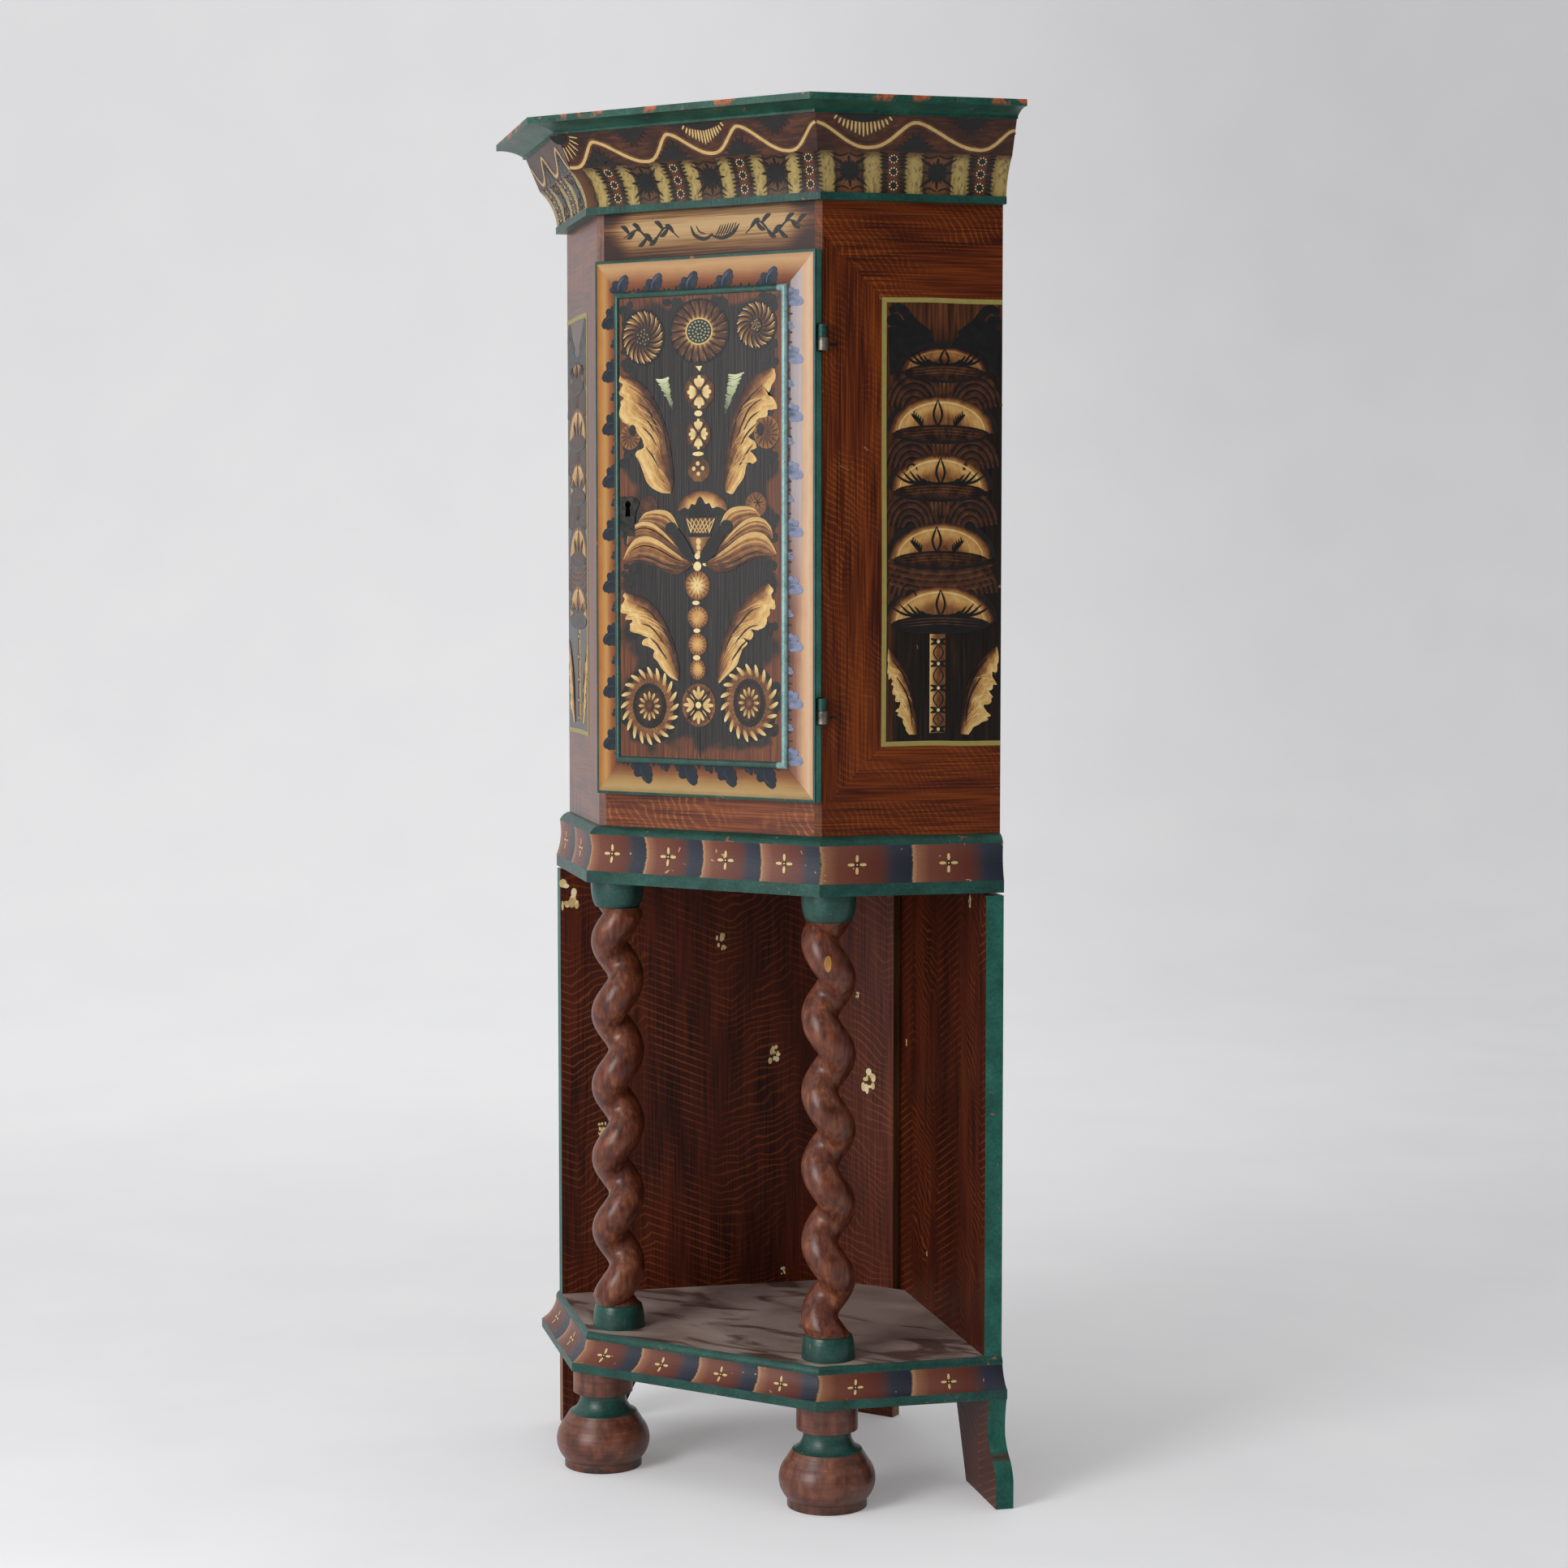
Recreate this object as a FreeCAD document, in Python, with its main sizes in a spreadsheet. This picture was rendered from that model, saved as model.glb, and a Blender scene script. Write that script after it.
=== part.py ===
import FreeCAD, Part
import math
import os
from types import SimpleNamespace

import Sketcher

# A two-part painted corner cabinet: a cupboard with a hinged door, on an open stand
# with twisted columns and turned feet.
# Frame: origin on the floor at the middle of the overall box, +Z up, front towards -Y.
# The two backs lie on planes at 45 degrees that meet in the room corner.

# Driving dimensions in millimetres, turns and degrees
SIZES = {
    # Plan of the cupboard
    "wall_length": 511.0,
    "return_length": 252.0,
    "corner_cut": 75.0,
    "wall_board": 25.0,
    "side_board": 20.0,
    "front_strip": 12.0,
    "rail_board": 22.0,
    "post_half_width": 48.0,
    "post_edge": 20.0,
    "post_board": 24.0,
    # Stand
    "stand_height": 841.0,
    "stand_overhang": 19.0,
    "wall_top_gap": 4.0,
    "shelf_height": 198.0,
    "shelf_board": 22.0,
    "shelf_moulding_height": 54.0,
    "shelf_moulding_reach": 46.0,
    "shelf_fillet_height": 13.0,
    "shelf_bead_height": 11.0,
    "shelf_bead_reach": 24.0,
    "shelf_bead_round": 2.0,
    "shelf_hollow": 4.5,
    # Feet that the wall boards end in
    "wall_foot_reach": 76.0,
    "wall_foot_shoulder": 44.0,
    "wall_foot_waist": 37.0,
    "wall_foot_waist_height": 93.0,
    "wall_foot_knee_height": 66.0,
    "wall_foot_knee_reach": 57.0,
    "wall_foot_toe_height": 38.0,
    "wall_foot_heel": 446.0,
    "wall_foot_heel_lean": 69.0,
    "wall_foot_round": 3.0,
    # Twisted columns
    "column_across": 175.0,
    "column_set_back": 32.0,
    "column_base_height": 33.0,
    "column_base_radius": 37.0,
    "column_base_neck": 31.5,
    "column_capital_height": 38.0,
    "column_capital_radius": 38.0,
    "column_capital_neck": 29.0,
    "column_shaft_radius": 25.5,
    "column_throw": 12.0,
    "column_pitch": 103.8,
    "column_run_out": 42.0,
    "column_run_out_inset": 1.5,
    "column_end_radius": 32.5,
    "column_end_taper": 26.0,
    "column_left_start_degrees": 27.0,
    "column_right_start_degrees": 113.0,
    "tenon_radius": 10.0,
    "tenon_length": 15.0,
    # Turned feet and the blocks that hold them
    "foot_across": 187.0,
    "foot_set_back": 9.0,
    "foot_base_radius": 55.0,
    "foot_ring_radius": 48.0,
    "foot_neck_radius": 33.0,
    "foot_block_radius": 42.5,
    "foot_base_height": 11.0,
    "foot_belly_height": 62.0,
    "foot_belly_radius": 58.0,
    "foot_ring_height": 78.0,
    "foot_neck_height": 98.0,
    "foot_collar_height": 107.0,
    "foot_collar_slope": 3.0,
    "foot_belly_bulge": 10.0,
    "foot_neck_hollow": 3.5,
    "corner_block_leg": 92.0,
    "dowel_length": 26.0,
    # Cupboard
    "above_door": 172.0,
    "base_board": 22.0,
    "base_moulding_height": 80.0,
    "base_moulding_reach": 20.0,
    "base_fillet_height": 17.0,
    "base_bead_height": 12.0,
    "base_bead_reach": 15.0,
    "base_bead_round": 2.5,
    "base_hollow": 3.5,
    "cove_height": 61.0,
    "cove_reach": 40.0,
    "cove_hollow": 5.5,
    "cove_fillet_height": 10.0,
    "cove_fillet_reach": 16.5,
    "cove_foot_reach": 14.5,
    "frieze_height": 46.0,
    "frieze_reach": 60.0,
    "frieze_board": 22.0,
    "crown_height": 20.0,
    "crown_reach": 104.0,
    "crown_edge": 9.0,
    "crown_foot": 3.5,
    "crown_foot_reach": 65.0,
    "crown_hollow": 3.0,
    "top_board": 18.0,
    "floor_rise": 117.0,
    "inner_shelf_board": 20.0,
    "lower_shelf_rise": 354.0,
    "upper_shelf_rise": 600.0,
    "inner_shelf_set_back": 45.0,
    "cleat_section": 20.0,
    "cleat_start": 125.0,
    "cleat_end_gap": 30.0,
    "shelf_clearance": 0.5,
    # Door
    "door_latch_inset": 8.3,
    "door_height": 740.0,
    "door_rise": 127.0,
    "door_edge_inset": 1.0,
    "door_gap": 0.5,
    "door_lap": 12.0,
    "door_board": 13.0,
    "door_frame_side": 38.0,
    "door_frame_end": 45.0,
    "door_frame_edge": 3.0,
    "door_frame_rise": 10.0,
    "door_frame_hollow": 1.5,
    "field_board": 12.5,
    "field_bead": 9.0,
    "field_bead_height": 12.0,
    "field_bead_round": 3.8,
    "batten_width": 45.0,
    "batten_board": 18.0,
    "batten_end_gap": 21.0,
    "batten_inset": 85.0,
    # Lock
    "keyhole_inset": 61.0,
    "keyhole_rise": 399.7,
    "keyhole_eye": 10.0,
    "keyhole_slot": 6.5,
    "keyhole_foot": 8.6,
    "keyhole_drop": 13.0,
    "key_plate_left": 13.0,
    "key_plate_waist": 11.4,
    "key_plate_reach": 19.0,
    "key_plate_crown": 6.0,
    "key_plate_rise": 14.6,
    "key_plate_shoulder": 3.0,
    "key_plate_neck": 19.0,
    "key_plate_drop": 40.0,
    "key_plate_scoop": 2.0,
    "key_plate_round": 3.0,
    "key_plate_board": 1.5,
    "lock_case_width": 86.0,
    "lock_case_height": 72.0,
    "lock_case_depth": 20.0,
    "lock_case_wall": 2.0,
    "lock_edge_gap": 5.0,
    "lock_pin_radius": 2.0,
    "lock_pin_length": 10.0,
    "bolt_length": 70.0,
    "bolt_height": 14.0,
    "bolt_board": 8.0,
    "bolt_inset": 4.0,
    "bolt_rise": 20.3,
    "bolt_throw": 13.0,
    "bolt_clearance": 0.5,
    "keep_board": 2.0,
    "keep_width": 14.0,
    "keep_height": 34.0,
    "keep_inset": 1.0,
    # Pin hinges let into the door's edge and the side board
    "hinge_upper_inset": 117.0,
    "hinge_lower_inset": 123.0,
    "hinge_axis_out": 4.5,
    "hinge_axis_forward": 7.0,
    "hinge_knuckle_radius": 6.0,
    "hinge_knuckle_length": 17.0,
    "hinge_knuckle_gap": 0.4,
    "hinge_pin_radius": 3.0,
    "hinge_running_clearance": 0.05,
    "hinge_leaf_board": 2.0,
    "hinge_leaf_start": 4.0,
    "hinge_leaf_reach": 34.0,
    "hinge_slot_clearance": 0.1,
    "hinge_notch_depth": 3.0,
    "hinge_notch_margin": 2.0,
    "nail_radius": 1.2,
    "nail_head_radius": 2.6,
    "nail_head": 1.0,
    "nail_length": 12.0,
    "nail_spacing": 9.0,
    "nail_clearance": 0.05,
    # Room that a cutting shape takes beyond what it cuts
    "cut_margin": 5.0,
}

FULL_TURN_DEGREES = 360.0
# Facets in the quarter round of a column's base or capital
CUP_STEPS = 6
# Angle between the room's walls and the cabinet's front
WALL_ANGLE_DEGREES = 45.0
LEFT = -1
RIGHT = 1
SIDE_NAMES = {LEFT: "left", RIGHT: "right"}


class Dim:
    """A length with its value and with the expression that binds it to the sheet."""

    def __init__(self, value, text):
        self.value = value
        self.text = text

    def __add__(self, other):
        other = as_dim(other)
        return Dim(self.value + other.value, f"({self.text} + {other.text})")

    def __sub__(self, other):
        other = as_dim(other)
        return Dim(self.value - other.value, f"({self.text} - {other.text})")

    def __mul__(self, other):
        other = as_dim(other)
        return Dim(self.value * other.value, f"({self.text} * {other.text})")

    def __truediv__(self, other):
        other = as_dim(other)
        return Dim(self.value / other.value, f"({self.text} / {other.text})")

    def __neg__(self):
        return Dim(-self.value, f"(0 - {self.text})")

    __radd__ = __add__
    __rmul__ = __mul__

    def __rsub__(self, other):
        return as_dim(other) - self


def as_dim(number):
    if isinstance(number, Dim):
        return number
    return Dim(float(number), repr(float(number)))


def root(length):
    return Dim(math.sqrt(length.value), f"sqrt({length.text})")


COS45 = Dim(math.sqrt(0.5), "sqrt(0.5)")
ROOT2 = Dim(math.sqrt(2.0), "sqrt(2)")
# Tangent of half the 45 degree turn between the front and a return
MITRE = Dim(math.sqrt(2.0) - 1.0, "(sqrt(2) - 1)")
ZERO = as_dim(0.0)

doc = FreeCAD.newDocument("CornerCabinet")
sheet = doc.addObject("Spreadsheet::Sheet", "Sizes")
for row, (alias, number) in enumerate(SIZES.items(), start=1):
    sheet.set(f"A{row}", alias)
    sheet.set(f"B{row}", str(number))
    sheet.setAlias(f"B{row}", alias)
doc.recompute()
size = SimpleNamespace(**{name: Dim(float(sheet.get(name)), f"Sizes.{name}") for name in SIZES})
finished = []


# Places that several pieces share
front_half = (size.wall_length - size.return_length) * COS45
front_line = -(size.wall_length + size.return_length) * COS45
corner_y = (size.crown_reach - front_line + size.corner_cut * COS45) / 2
post_front = -(size.post_half_width + size.wall_board * ROOT2 + size.post_edge)
carcass_bottom = size.stand_height + size.base_board
door_bottom = size.stand_height + size.door_rise
door_top = door_bottom + size.door_height
frieze_top = door_top + size.above_door
cove_bottom = frieze_top - size.frieze_height - size.cove_height
door_right = front_half - size.door_edge_inset
door_left = size.door_latch_inset - front_half
door_width = door_right - door_left
door_back_y = front_line - size.door_gap
door_face_y = door_back_y - size.door_board
opening_half = front_half - size.front_strip
hinge_x = front_half + size.hinge_axis_out
hinge_y = front_line - size.hinge_axis_forward
hinge_heights = {
    "upper": door_top - size.hinge_upper_inset,
    "lower": door_bottom + size.hinge_lower_inset,
}
keyhole_x = door_left + size.keyhole_inset
keyhole_z = door_bottom + size.keyhole_rise
shelf_underside = size.shelf_height - size.shelf_board
moulding_underside = size.shelf_height - size.shelf_moulding_height


# Helpers for documents, sketches and features
def new_body(label):
    body = doc.addObject("PartDesign::Body", label)
    body.Label = label
    return body


def keep(piece):
    finished.append(piece)
    return piece


def place(piece, x, y, z, turn=0.0):
    """Put a piece at a point of the corner frame, turned about the vertical."""
    spot = FreeCAD.Vector(as_dim(x).value, (as_dim(y) + corner_y).value, as_dim(z).value)
    spin = FreeCAD.Rotation(FreeCAD.Vector(0, 0, 1), turn)
    piece.Placement = FreeCAD.Placement(spot, spin)
    piece.setExpression("Placement.Base.x", as_dim(x).text)
    piece.setExpression("Placement.Base.y", (as_dim(y) + corner_y).text)
    piece.setExpression("Placement.Base.z", as_dim(z).text)


def new_sketch(body, role, name):
    sketch = body.newObject("Sketcher::SketchObject", name)
    plane = [feature for feature in body.Origin.OriginFeatures if feature.Role == role][0]
    sketch.AttachmentSupport = [(plane, "")]
    sketch.MapMode = "FlatFace"
    return sketch


def bind(sketch, constraint, length):
    index = sketch.addConstraint(constraint)
    sketch.setExpression(f"Constraints[{index}]", length.text)


def add_arc(sketch, start, end, sagitta):
    """Add an arc that bulges by the sagitta to the right of the way from start to end."""
    chord = end - start
    across = FreeCAD.Vector(chord.y, -chord.x, 0).normalize()
    radius = (chord.Length ** 2 / 4 + sagitta ** 2) / (2 * abs(sagitta))
    towards = 1 if sagitta > 0 else -1
    centre = (start + end) / 2 + across * towards * (abs(sagitta) - radius)
    first, last = (start, end) if sagitta > 0 else (end, start)
    first_angle = math.atan2(first.y - centre.y, first.x - centre.x)
    last_angle = math.atan2(last.y - centre.y, last.x - centre.x)
    if last_angle < first_angle:
        last_angle += 2 * math.pi
    circle = Part.Circle(centre, FreeCAD.Vector(0, 0, 1), radius)
    return sketch.addGeometry(Part.ArcOfCircle(circle, first_angle, last_angle))


def add_loop(sketch, corners):
    """Add a closed outline, given counter-clockwise.

    A corner is (x, y) or (x, y, sagitta), where the sagitta rounds the edge that leaves it:
    outwards where it is positive and inwards where it is negative.
    """
    corners = [tuple(as_dim(number) for number in corner) for corner in corners]
    spots = [FreeCAD.Vector(corner[0].value, corner[1].value, 0) for corner in corners]
    ends = []
    for index, corner in enumerate(corners):
        start = spots[index]
        end = spots[(index + 1) % len(corners)]
        if len(corner) == 2:
            edge = sketch.addGeometry(Part.LineSegment(start, end))
            ends.append((edge, 1, 2))
            continue
        edge = add_arc(sketch, start, end, corner[2].value)
        ends.append((edge, 1, 2) if corner[2].value > 0 else (edge, 2, 1))
    for index, (edge, start_point, end_point) in enumerate(ends):
        next_edge, next_start, _ = ends[(index + 1) % len(ends)]
        sketch.addConstraint(Sketcher.Constraint("Coincident", edge, end_point, next_edge, next_start))
    for (edge, start_point, _), corner in zip(ends, corners):
        x, y = corner[0], corner[1]
        bind(sketch, Sketcher.Constraint("DistanceX", -1, 1, edge, start_point, x.value), x)
        bind(sketch, Sketcher.Constraint("DistanceY", -1, 1, edge, start_point, y.value), y)
    for index, corner in enumerate(corners):
        if len(corner) == 3:
            following = corners[(index + 1) % len(corners)]
            run = following[0] - corner[0]
            rise = following[1] - corner[1]
            sagitta = corner[2] if corner[2].value > 0 else -corner[2]
            radius = ((run * run + rise * rise) / 4 + sagitta * sagitta) / (sagitta * 2)
            bind(sketch, Sketcher.Constraint("Radius", ends[index][0], radius.value), radius)


def add_circle(sketch, x, y, radius):
    x, y = as_dim(x), as_dim(y)
    centre = FreeCAD.Vector(x.value, y.value, 0)
    edge = sketch.addGeometry(Part.Circle(centre, FreeCAD.Vector(0, 0, 1), radius.value))
    bind(sketch, Sketcher.Constraint("DistanceX", -1, 1, edge, 3, x.value), x)
    bind(sketch, Sketcher.Constraint("DistanceY", -1, 1, edge, 3, y.value), y)
    bind(sketch, Sketcher.Constraint("Radius", edge, radius.value), radius)


def pad(body, sketch, length, reversed_way=False, both_ways=False):
    feature = body.newObject("PartDesign::Pad", "Pad")
    feature.Profile = sketch
    feature.Reversed = reversed_way
    feature.Midplane = both_ways
    feature.setExpression("Length", as_dim(length).text)
    return feature


def pocket(body, sketch, depth=None, reversed_way=False):
    """Cut a sketch out of a body, right through where no depth is given."""
    doc.recompute()
    before = body.Shape.Volume
    feature = body.newObject("PartDesign::Pocket", "Pocket")
    feature.Profile = sketch
    feature.Reversed = reversed_way
    if depth is None:
        feature.Type = "ThroughAll"
    else:
        feature.setExpression("Length", as_dim(depth).text)
    doc.recompute()
    if not body.Shape.Volume < before:
        raise RuntimeError(f"a pocket of {body.Label} cuts nothing")
    return feature


def plan_board(label, corners, bottom, thickness):
    """A horizontal board, drawn in plan in the corner frame."""
    body = new_body(label)
    sketch = new_sketch(body, "XY_Plane", "Plan")
    add_loop(sketch, corners)
    pad(body, sketch, thickness)
    place(body, 0, 0, bottom)
    return keep(body)


def box(label, length, width, height, x, y, z, turn=0.0):
    block = doc.addObject("Part::Box", label)
    block.Label = label
    block.setExpression("Length", as_dim(length).text)
    block.setExpression("Width", as_dim(width).text)
    block.setExpression("Height", as_dim(height).text)
    place(block, x, y, z, turn)
    return block


def cylinder(label, radius, height, x, y, z):
    rod = doc.addObject("Part::Cylinder", label)
    rod.Label = label
    rod.setExpression("Radius", as_dim(radius).text)
    rod.setExpression("Height", as_dim(height).text)
    place(rod, x, y, z)
    return rod


def group(label, members):
    compound = doc.addObject("Part::Compound", label)
    compound.Label = label
    compound.Links = members
    return compound


def fuse(label, members):
    joined = doc.addObject("Part::MultiFuse", label)
    joined.Label = label
    joined.Shapes = members
    return joined


def cut(label, base, tools):
    remainder = doc.addObject("Part::Cut", label)
    remainder.Label = label
    remainder.Base = base
    remainder.Tool = tools[0] if len(tools) == 1 else group(f"{label}_tools", tools)
    return remainder


# Plan outlines
def full_outline():
    """The cupboard's plan, from the cut-off room corner round to both returns."""
    rear = size.corner_cut * COS45
    wide = size.wall_length * COS45
    right = [(rear, -rear), (wide, -wide), (front_half, front_line)]
    return mirrored_outline(right)


def inside_outline(wall_depth, return_line, front_y, post_clearance):
    """A board between the wall boards, from the corner post to a front line."""
    rear_y = post_front - post_clearance
    rear_x = -rear_y - wall_depth * ROOT2
    side_x = (return_line - wall_depth) * COS45
    side_y = -(return_line + wall_depth) * COS45
    front_x = return_line * ROOT2 + front_y
    return mirrored_outline([(rear_x, rear_y), (side_x, side_y), (front_x, front_y)])


def mirrored_outline(right):
    """Counter-clockwise outline of a plan whose right half runs from the back to the front."""
    left = [(-x, y) for x, y in right]
    return left + list(reversed(right))


# Wall boards and posts
def cupboard_wall(side):
    body = new_body(f"cupboard_wall_{SIDE_NAMES[side]}")
    sketch = new_sketch(body, "XZ_Plane", "Face")
    near = size.corner_cut
    far = size.wall_length - size.side_board
    height = frieze_top - carcass_bottom
    corners = [(near, ZERO), (far, ZERO), (far, height), (near, height)]
    add_loop(sketch, handed(corners, side))
    pad(body, sketch, size.wall_board)
    place(body, 0, 0, carcass_bottom, -side * WALL_ANGLE_DEGREES)
    return keep(body)


def handed(corners, side):
    """Mirror an outline for the left side, and keep it counter-clockwise."""
    if side == RIGHT:
        return corners
    flipped = [(-corner[0], corner[1]) for corner in reversed(corners)]
    bulges = [corner[2] if len(corner) == 3 else None for corner in reversed(corners)]
    bulges = bulges[1:] + bulges[:1]
    return [spot if bulge is None else spot + (bulge,) for spot, bulge in zip(flipped, bulges)]


def stand_wall(side):
    """A wall board: the right one's front lower corner is shaped into a foot, the left one runs straight down."""
    body = new_body(f"stand_wall_{SIDE_NAMES[side]}")
    sketch = new_sketch(body, "XZ_Plane", "Face")
    near = size.corner_cut
    edge = size.wall_length + size.stand_overhang
    toe = size.wall_length + size.wall_foot_reach
    knee = size.wall_length + size.wall_foot_knee_reach
    waist = size.wall_length + size.wall_foot_waist
    shoulder = size.wall_length + size.wall_foot_shoulder
    top = size.stand_height - size.wall_top_gap
    shaped_foot = [
        (toe, ZERO),
        (toe, size.wall_foot_toe_height, size.wall_foot_round),
        (knee, size.wall_foot_knee_height, -size.wall_foot_round),
        (waist, size.wall_foot_waist_height, -size.wall_foot_round),
        (shoulder, moulding_underside),
        (edge, moulding_underside),
    ]
    straight_foot = [(edge, ZERO)]
    corners = [
        (near, moulding_underside),
        (size.wall_foot_heel - size.wall_foot_heel_lean, moulding_underside),
        (size.wall_foot_heel, ZERO),
    ]
    corners += shaped_foot if side == RIGHT else straight_foot
    corners += [(edge, top), (near, top)]
    add_loop(sketch, handed(corners, side))
    pad(body, sketch, size.wall_board)
    place(body, 0, 0, 0, -side * WALL_ANGLE_DEGREES)
    return keep(body)


def corner_post(label, bottom, top):
    """A plank across the room corner, bevelled where it lies against the wall boards."""
    back = post_front + size.post_board
    bevel_y = post_front + size.post_edge
    back_half = size.post_half_width - (size.post_board - size.post_edge)
    half = size.post_half_width
    right = [(back_half, back), (half, bevel_y), (half, post_front)]
    return plan_board(label, mirrored_outline(right), bottom, top - bottom)


# Mitred mouldings that run round the front and both returns
def base_profile():
    height = size.base_moulding_height
    bead_z = height - size.base_bead_height
    return [
        (ZERO, height, size.base_bead_round),
        (-size.base_bead_reach, bead_z, -size.base_hollow),
        (-size.base_moulding_reach, size.base_fillet_height),
        (-size.base_moulding_reach, ZERO),
        (ZERO, ZERO),
    ]


def shelf_profile():
    height = size.shelf_moulding_height
    inside = -size.stand_overhang
    bead_z = height - size.shelf_bead_height
    return [
        (inside, height, size.shelf_bead_round),
        (-size.shelf_bead_reach, bead_z, -size.shelf_hollow),
        (-size.shelf_moulding_reach, size.shelf_fillet_height),
        (-size.shelf_moulding_reach, ZERO),
        (inside, ZERO),
    ]


def cove_profile():
    height = size.cove_height
    return [
        (ZERO, height),
        (-size.cove_reach, height, -size.cove_hollow),
        (-size.cove_foot_reach, size.cove_fillet_height),
        (-size.cove_fillet_reach, size.cove_fillet_height),
        (-size.cove_fillet_reach, ZERO),
        (ZERO, ZERO),
    ]


def frieze_profile():
    height = size.frieze_height
    return [
        (size.frieze_board - size.frieze_reach, height),
        (-size.frieze_reach, height),
        (-size.cove_reach, ZERO),
        (size.frieze_board - size.cove_reach, ZERO),
    ]


def crown_profile():
    height = size.crown_height
    return [
        (ZERO, height),
        (-size.crown_reach, height),
        (-size.crown_reach, height - size.crown_edge, -size.crown_hollow),
        (-size.crown_foot_reach, size.crown_foot),
        (-size.crown_foot_reach, ZERO),
        (ZERO, ZERO),
    ]


def front_moulding(label, profile, reach, bottom):
    body = new_body(label)
    section = new_sketch(body, "YZ_Plane", "Section")
    add_loop(section, profile)
    half_length = front_half + reach * MITRE
    pad(body, section, half_length * 2, both_ways=True)
    mitres = new_sketch(body, "XY_Plane", "Mitres")
    inner = size.cut_margin
    outer = reach + size.cut_margin
    beyond = front_half + (outer + size.cut_margin) * MITRE + size.cut_margin
    wedge = [
        (front_half - inner * MITRE, inner),
        (front_half + outer * MITRE, -outer),
        (beyond, -outer),
        (beyond, inner),
    ]
    add_loop(mitres, wedge)
    add_loop(mitres, handed(wedge, LEFT))
    pocket(body, mitres, reversed_way=True)
    place(body, 0, front_line, bottom)
    return keep(body)


def return_moulding(label, profile, reach, bottom, side):
    """A moulding on a return, from the wall's plane to the mitre at the front corner."""
    body = new_body(label)
    section = new_sketch(body, "YZ_Plane", "Section")
    add_loop(section, profile)
    pad(body, section, size.return_length + reach * MITRE, reversed_way=side == RIGHT)
    mitre = new_sketch(body, "XY_Plane", "Mitre")
    inner = size.cut_margin
    outer = reach + size.cut_margin
    beyond = size.return_length + (outer + size.cut_margin) * MITRE + size.cut_margin
    wedge = [
        (size.return_length - inner * MITRE, inner),
        (size.return_length + outer * MITRE, -outer),
        (beyond, -outer),
        (beyond, inner),
    ]
    add_loop(mitre, handed(wedge, -side))
    pocket(body, mitre, reversed_way=True)
    wide = size.wall_length * COS45
    place(body, wide * side, -wide, bottom, side * WALL_ANGLE_DEGREES)
    return keep(body)


def moulding_set(name, profile, reach, bottom):
    front_moulding(f"{name}_front", profile, reach, bottom)
    for side in (LEFT, RIGHT):
        return_moulding(f"{name}_{SIDE_NAMES[side]}", profile, reach, bottom, side)


# Cupboard side boards, with the front strip, the hinge slots and the lock's keep let in
def side_panel(side):
    name = f"side_panel_{SIDE_NAMES[side]}"
    body = new_body(f"{name}_board")
    sketch = new_sketch(body, "XY_Plane", "Plan")
    strip = size.front_strip * COS45
    corners = [
        (ZERO, ZERO),
        (size.return_length, ZERO),
        (size.return_length, size.side_board),
        (size.side_board - strip * 2, size.side_board),
        (-strip, strip),
    ]
    add_loop(sketch, handed(corners, side))
    pad(body, sketch, frieze_top - carcass_bottom)
    place(body, front_half * side, front_line, carcass_bottom, side * WALL_ANGLE_DEGREES)
    tools = hinge_slots_in_side() if side == RIGHT else keep_mortise()
    return keep(cut(name, body, tools))


def hinge_slots_in_side():
    tools = []
    gap = size.hinge_slot_clearance
    width = size.hinge_leaf_board + gap * 2
    height = size.hinge_knuckle_length + gap * 2
    for name, middle in hinge_heights.items():
        bottom = middle - size.hinge_knuckle_length - gap
        slot = box(f"{name}_leaf_slot", width, size.hinge_leaf_reach + gap, height,
                   hinge_x - width / 2, hinge_y, bottom)
        tools.append(slot)
        tools.extend(side_nail_shapes(name, size.nail_clearance))
    return tools


def keep_mortise():
    bottom = bolt_bottom() - size.bolt_clearance
    reach = size.bolt_throw - size.lock_edge_gap + size.cut_margin
    mortise = box("bolt_mortise", reach, size.bolt_board + size.bolt_clearance * 2,
                  size.bolt_height + size.bolt_clearance * 2,
                  -opening_half - reach, bolt_front() - size.bolt_clearance, bottom)
    recess = box("keep_recess", size.keep_board, size.keep_width, size.keep_height,
                 -opening_half - size.keep_board, front_line + size.keep_inset, keep_bottom())
    return [mortise, recess]


def rail(label, bottom, top):
    board = box(label, opening_half * 2, size.rail_board, top - bottom,
                -opening_half, front_line, bottom)
    return keep(board)


def wall_cleat(label, top, side):
    """A batten on a wall board's inner face, with its top at a shelf's underside."""
    length = size.wall_length - size.side_board - size.cleat_end_gap - size.cleat_start
    along = size.cleat_start if side == RIGHT else -(size.cleat_start + length)
    inward = -(size.wall_board + size.cleat_section)
    x = (along + inward * side) * COS45
    y = (inward - along * side) * COS45
    return box(label, length, size.cleat_section, size.cleat_section,
               x, y, top - size.cleat_section, -side * WALL_ANGLE_DEGREES)


# Turned and twisted pieces
def revolve(body, sketch):
    feature = body.newObject("PartDesign::Revolution", "Turning")
    feature.Profile = sketch
    feature.ReferenceAxis = (sketch, ["V_Axis"])
    feature.Angle = FULL_TURN_DEGREES
    return feature


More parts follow.
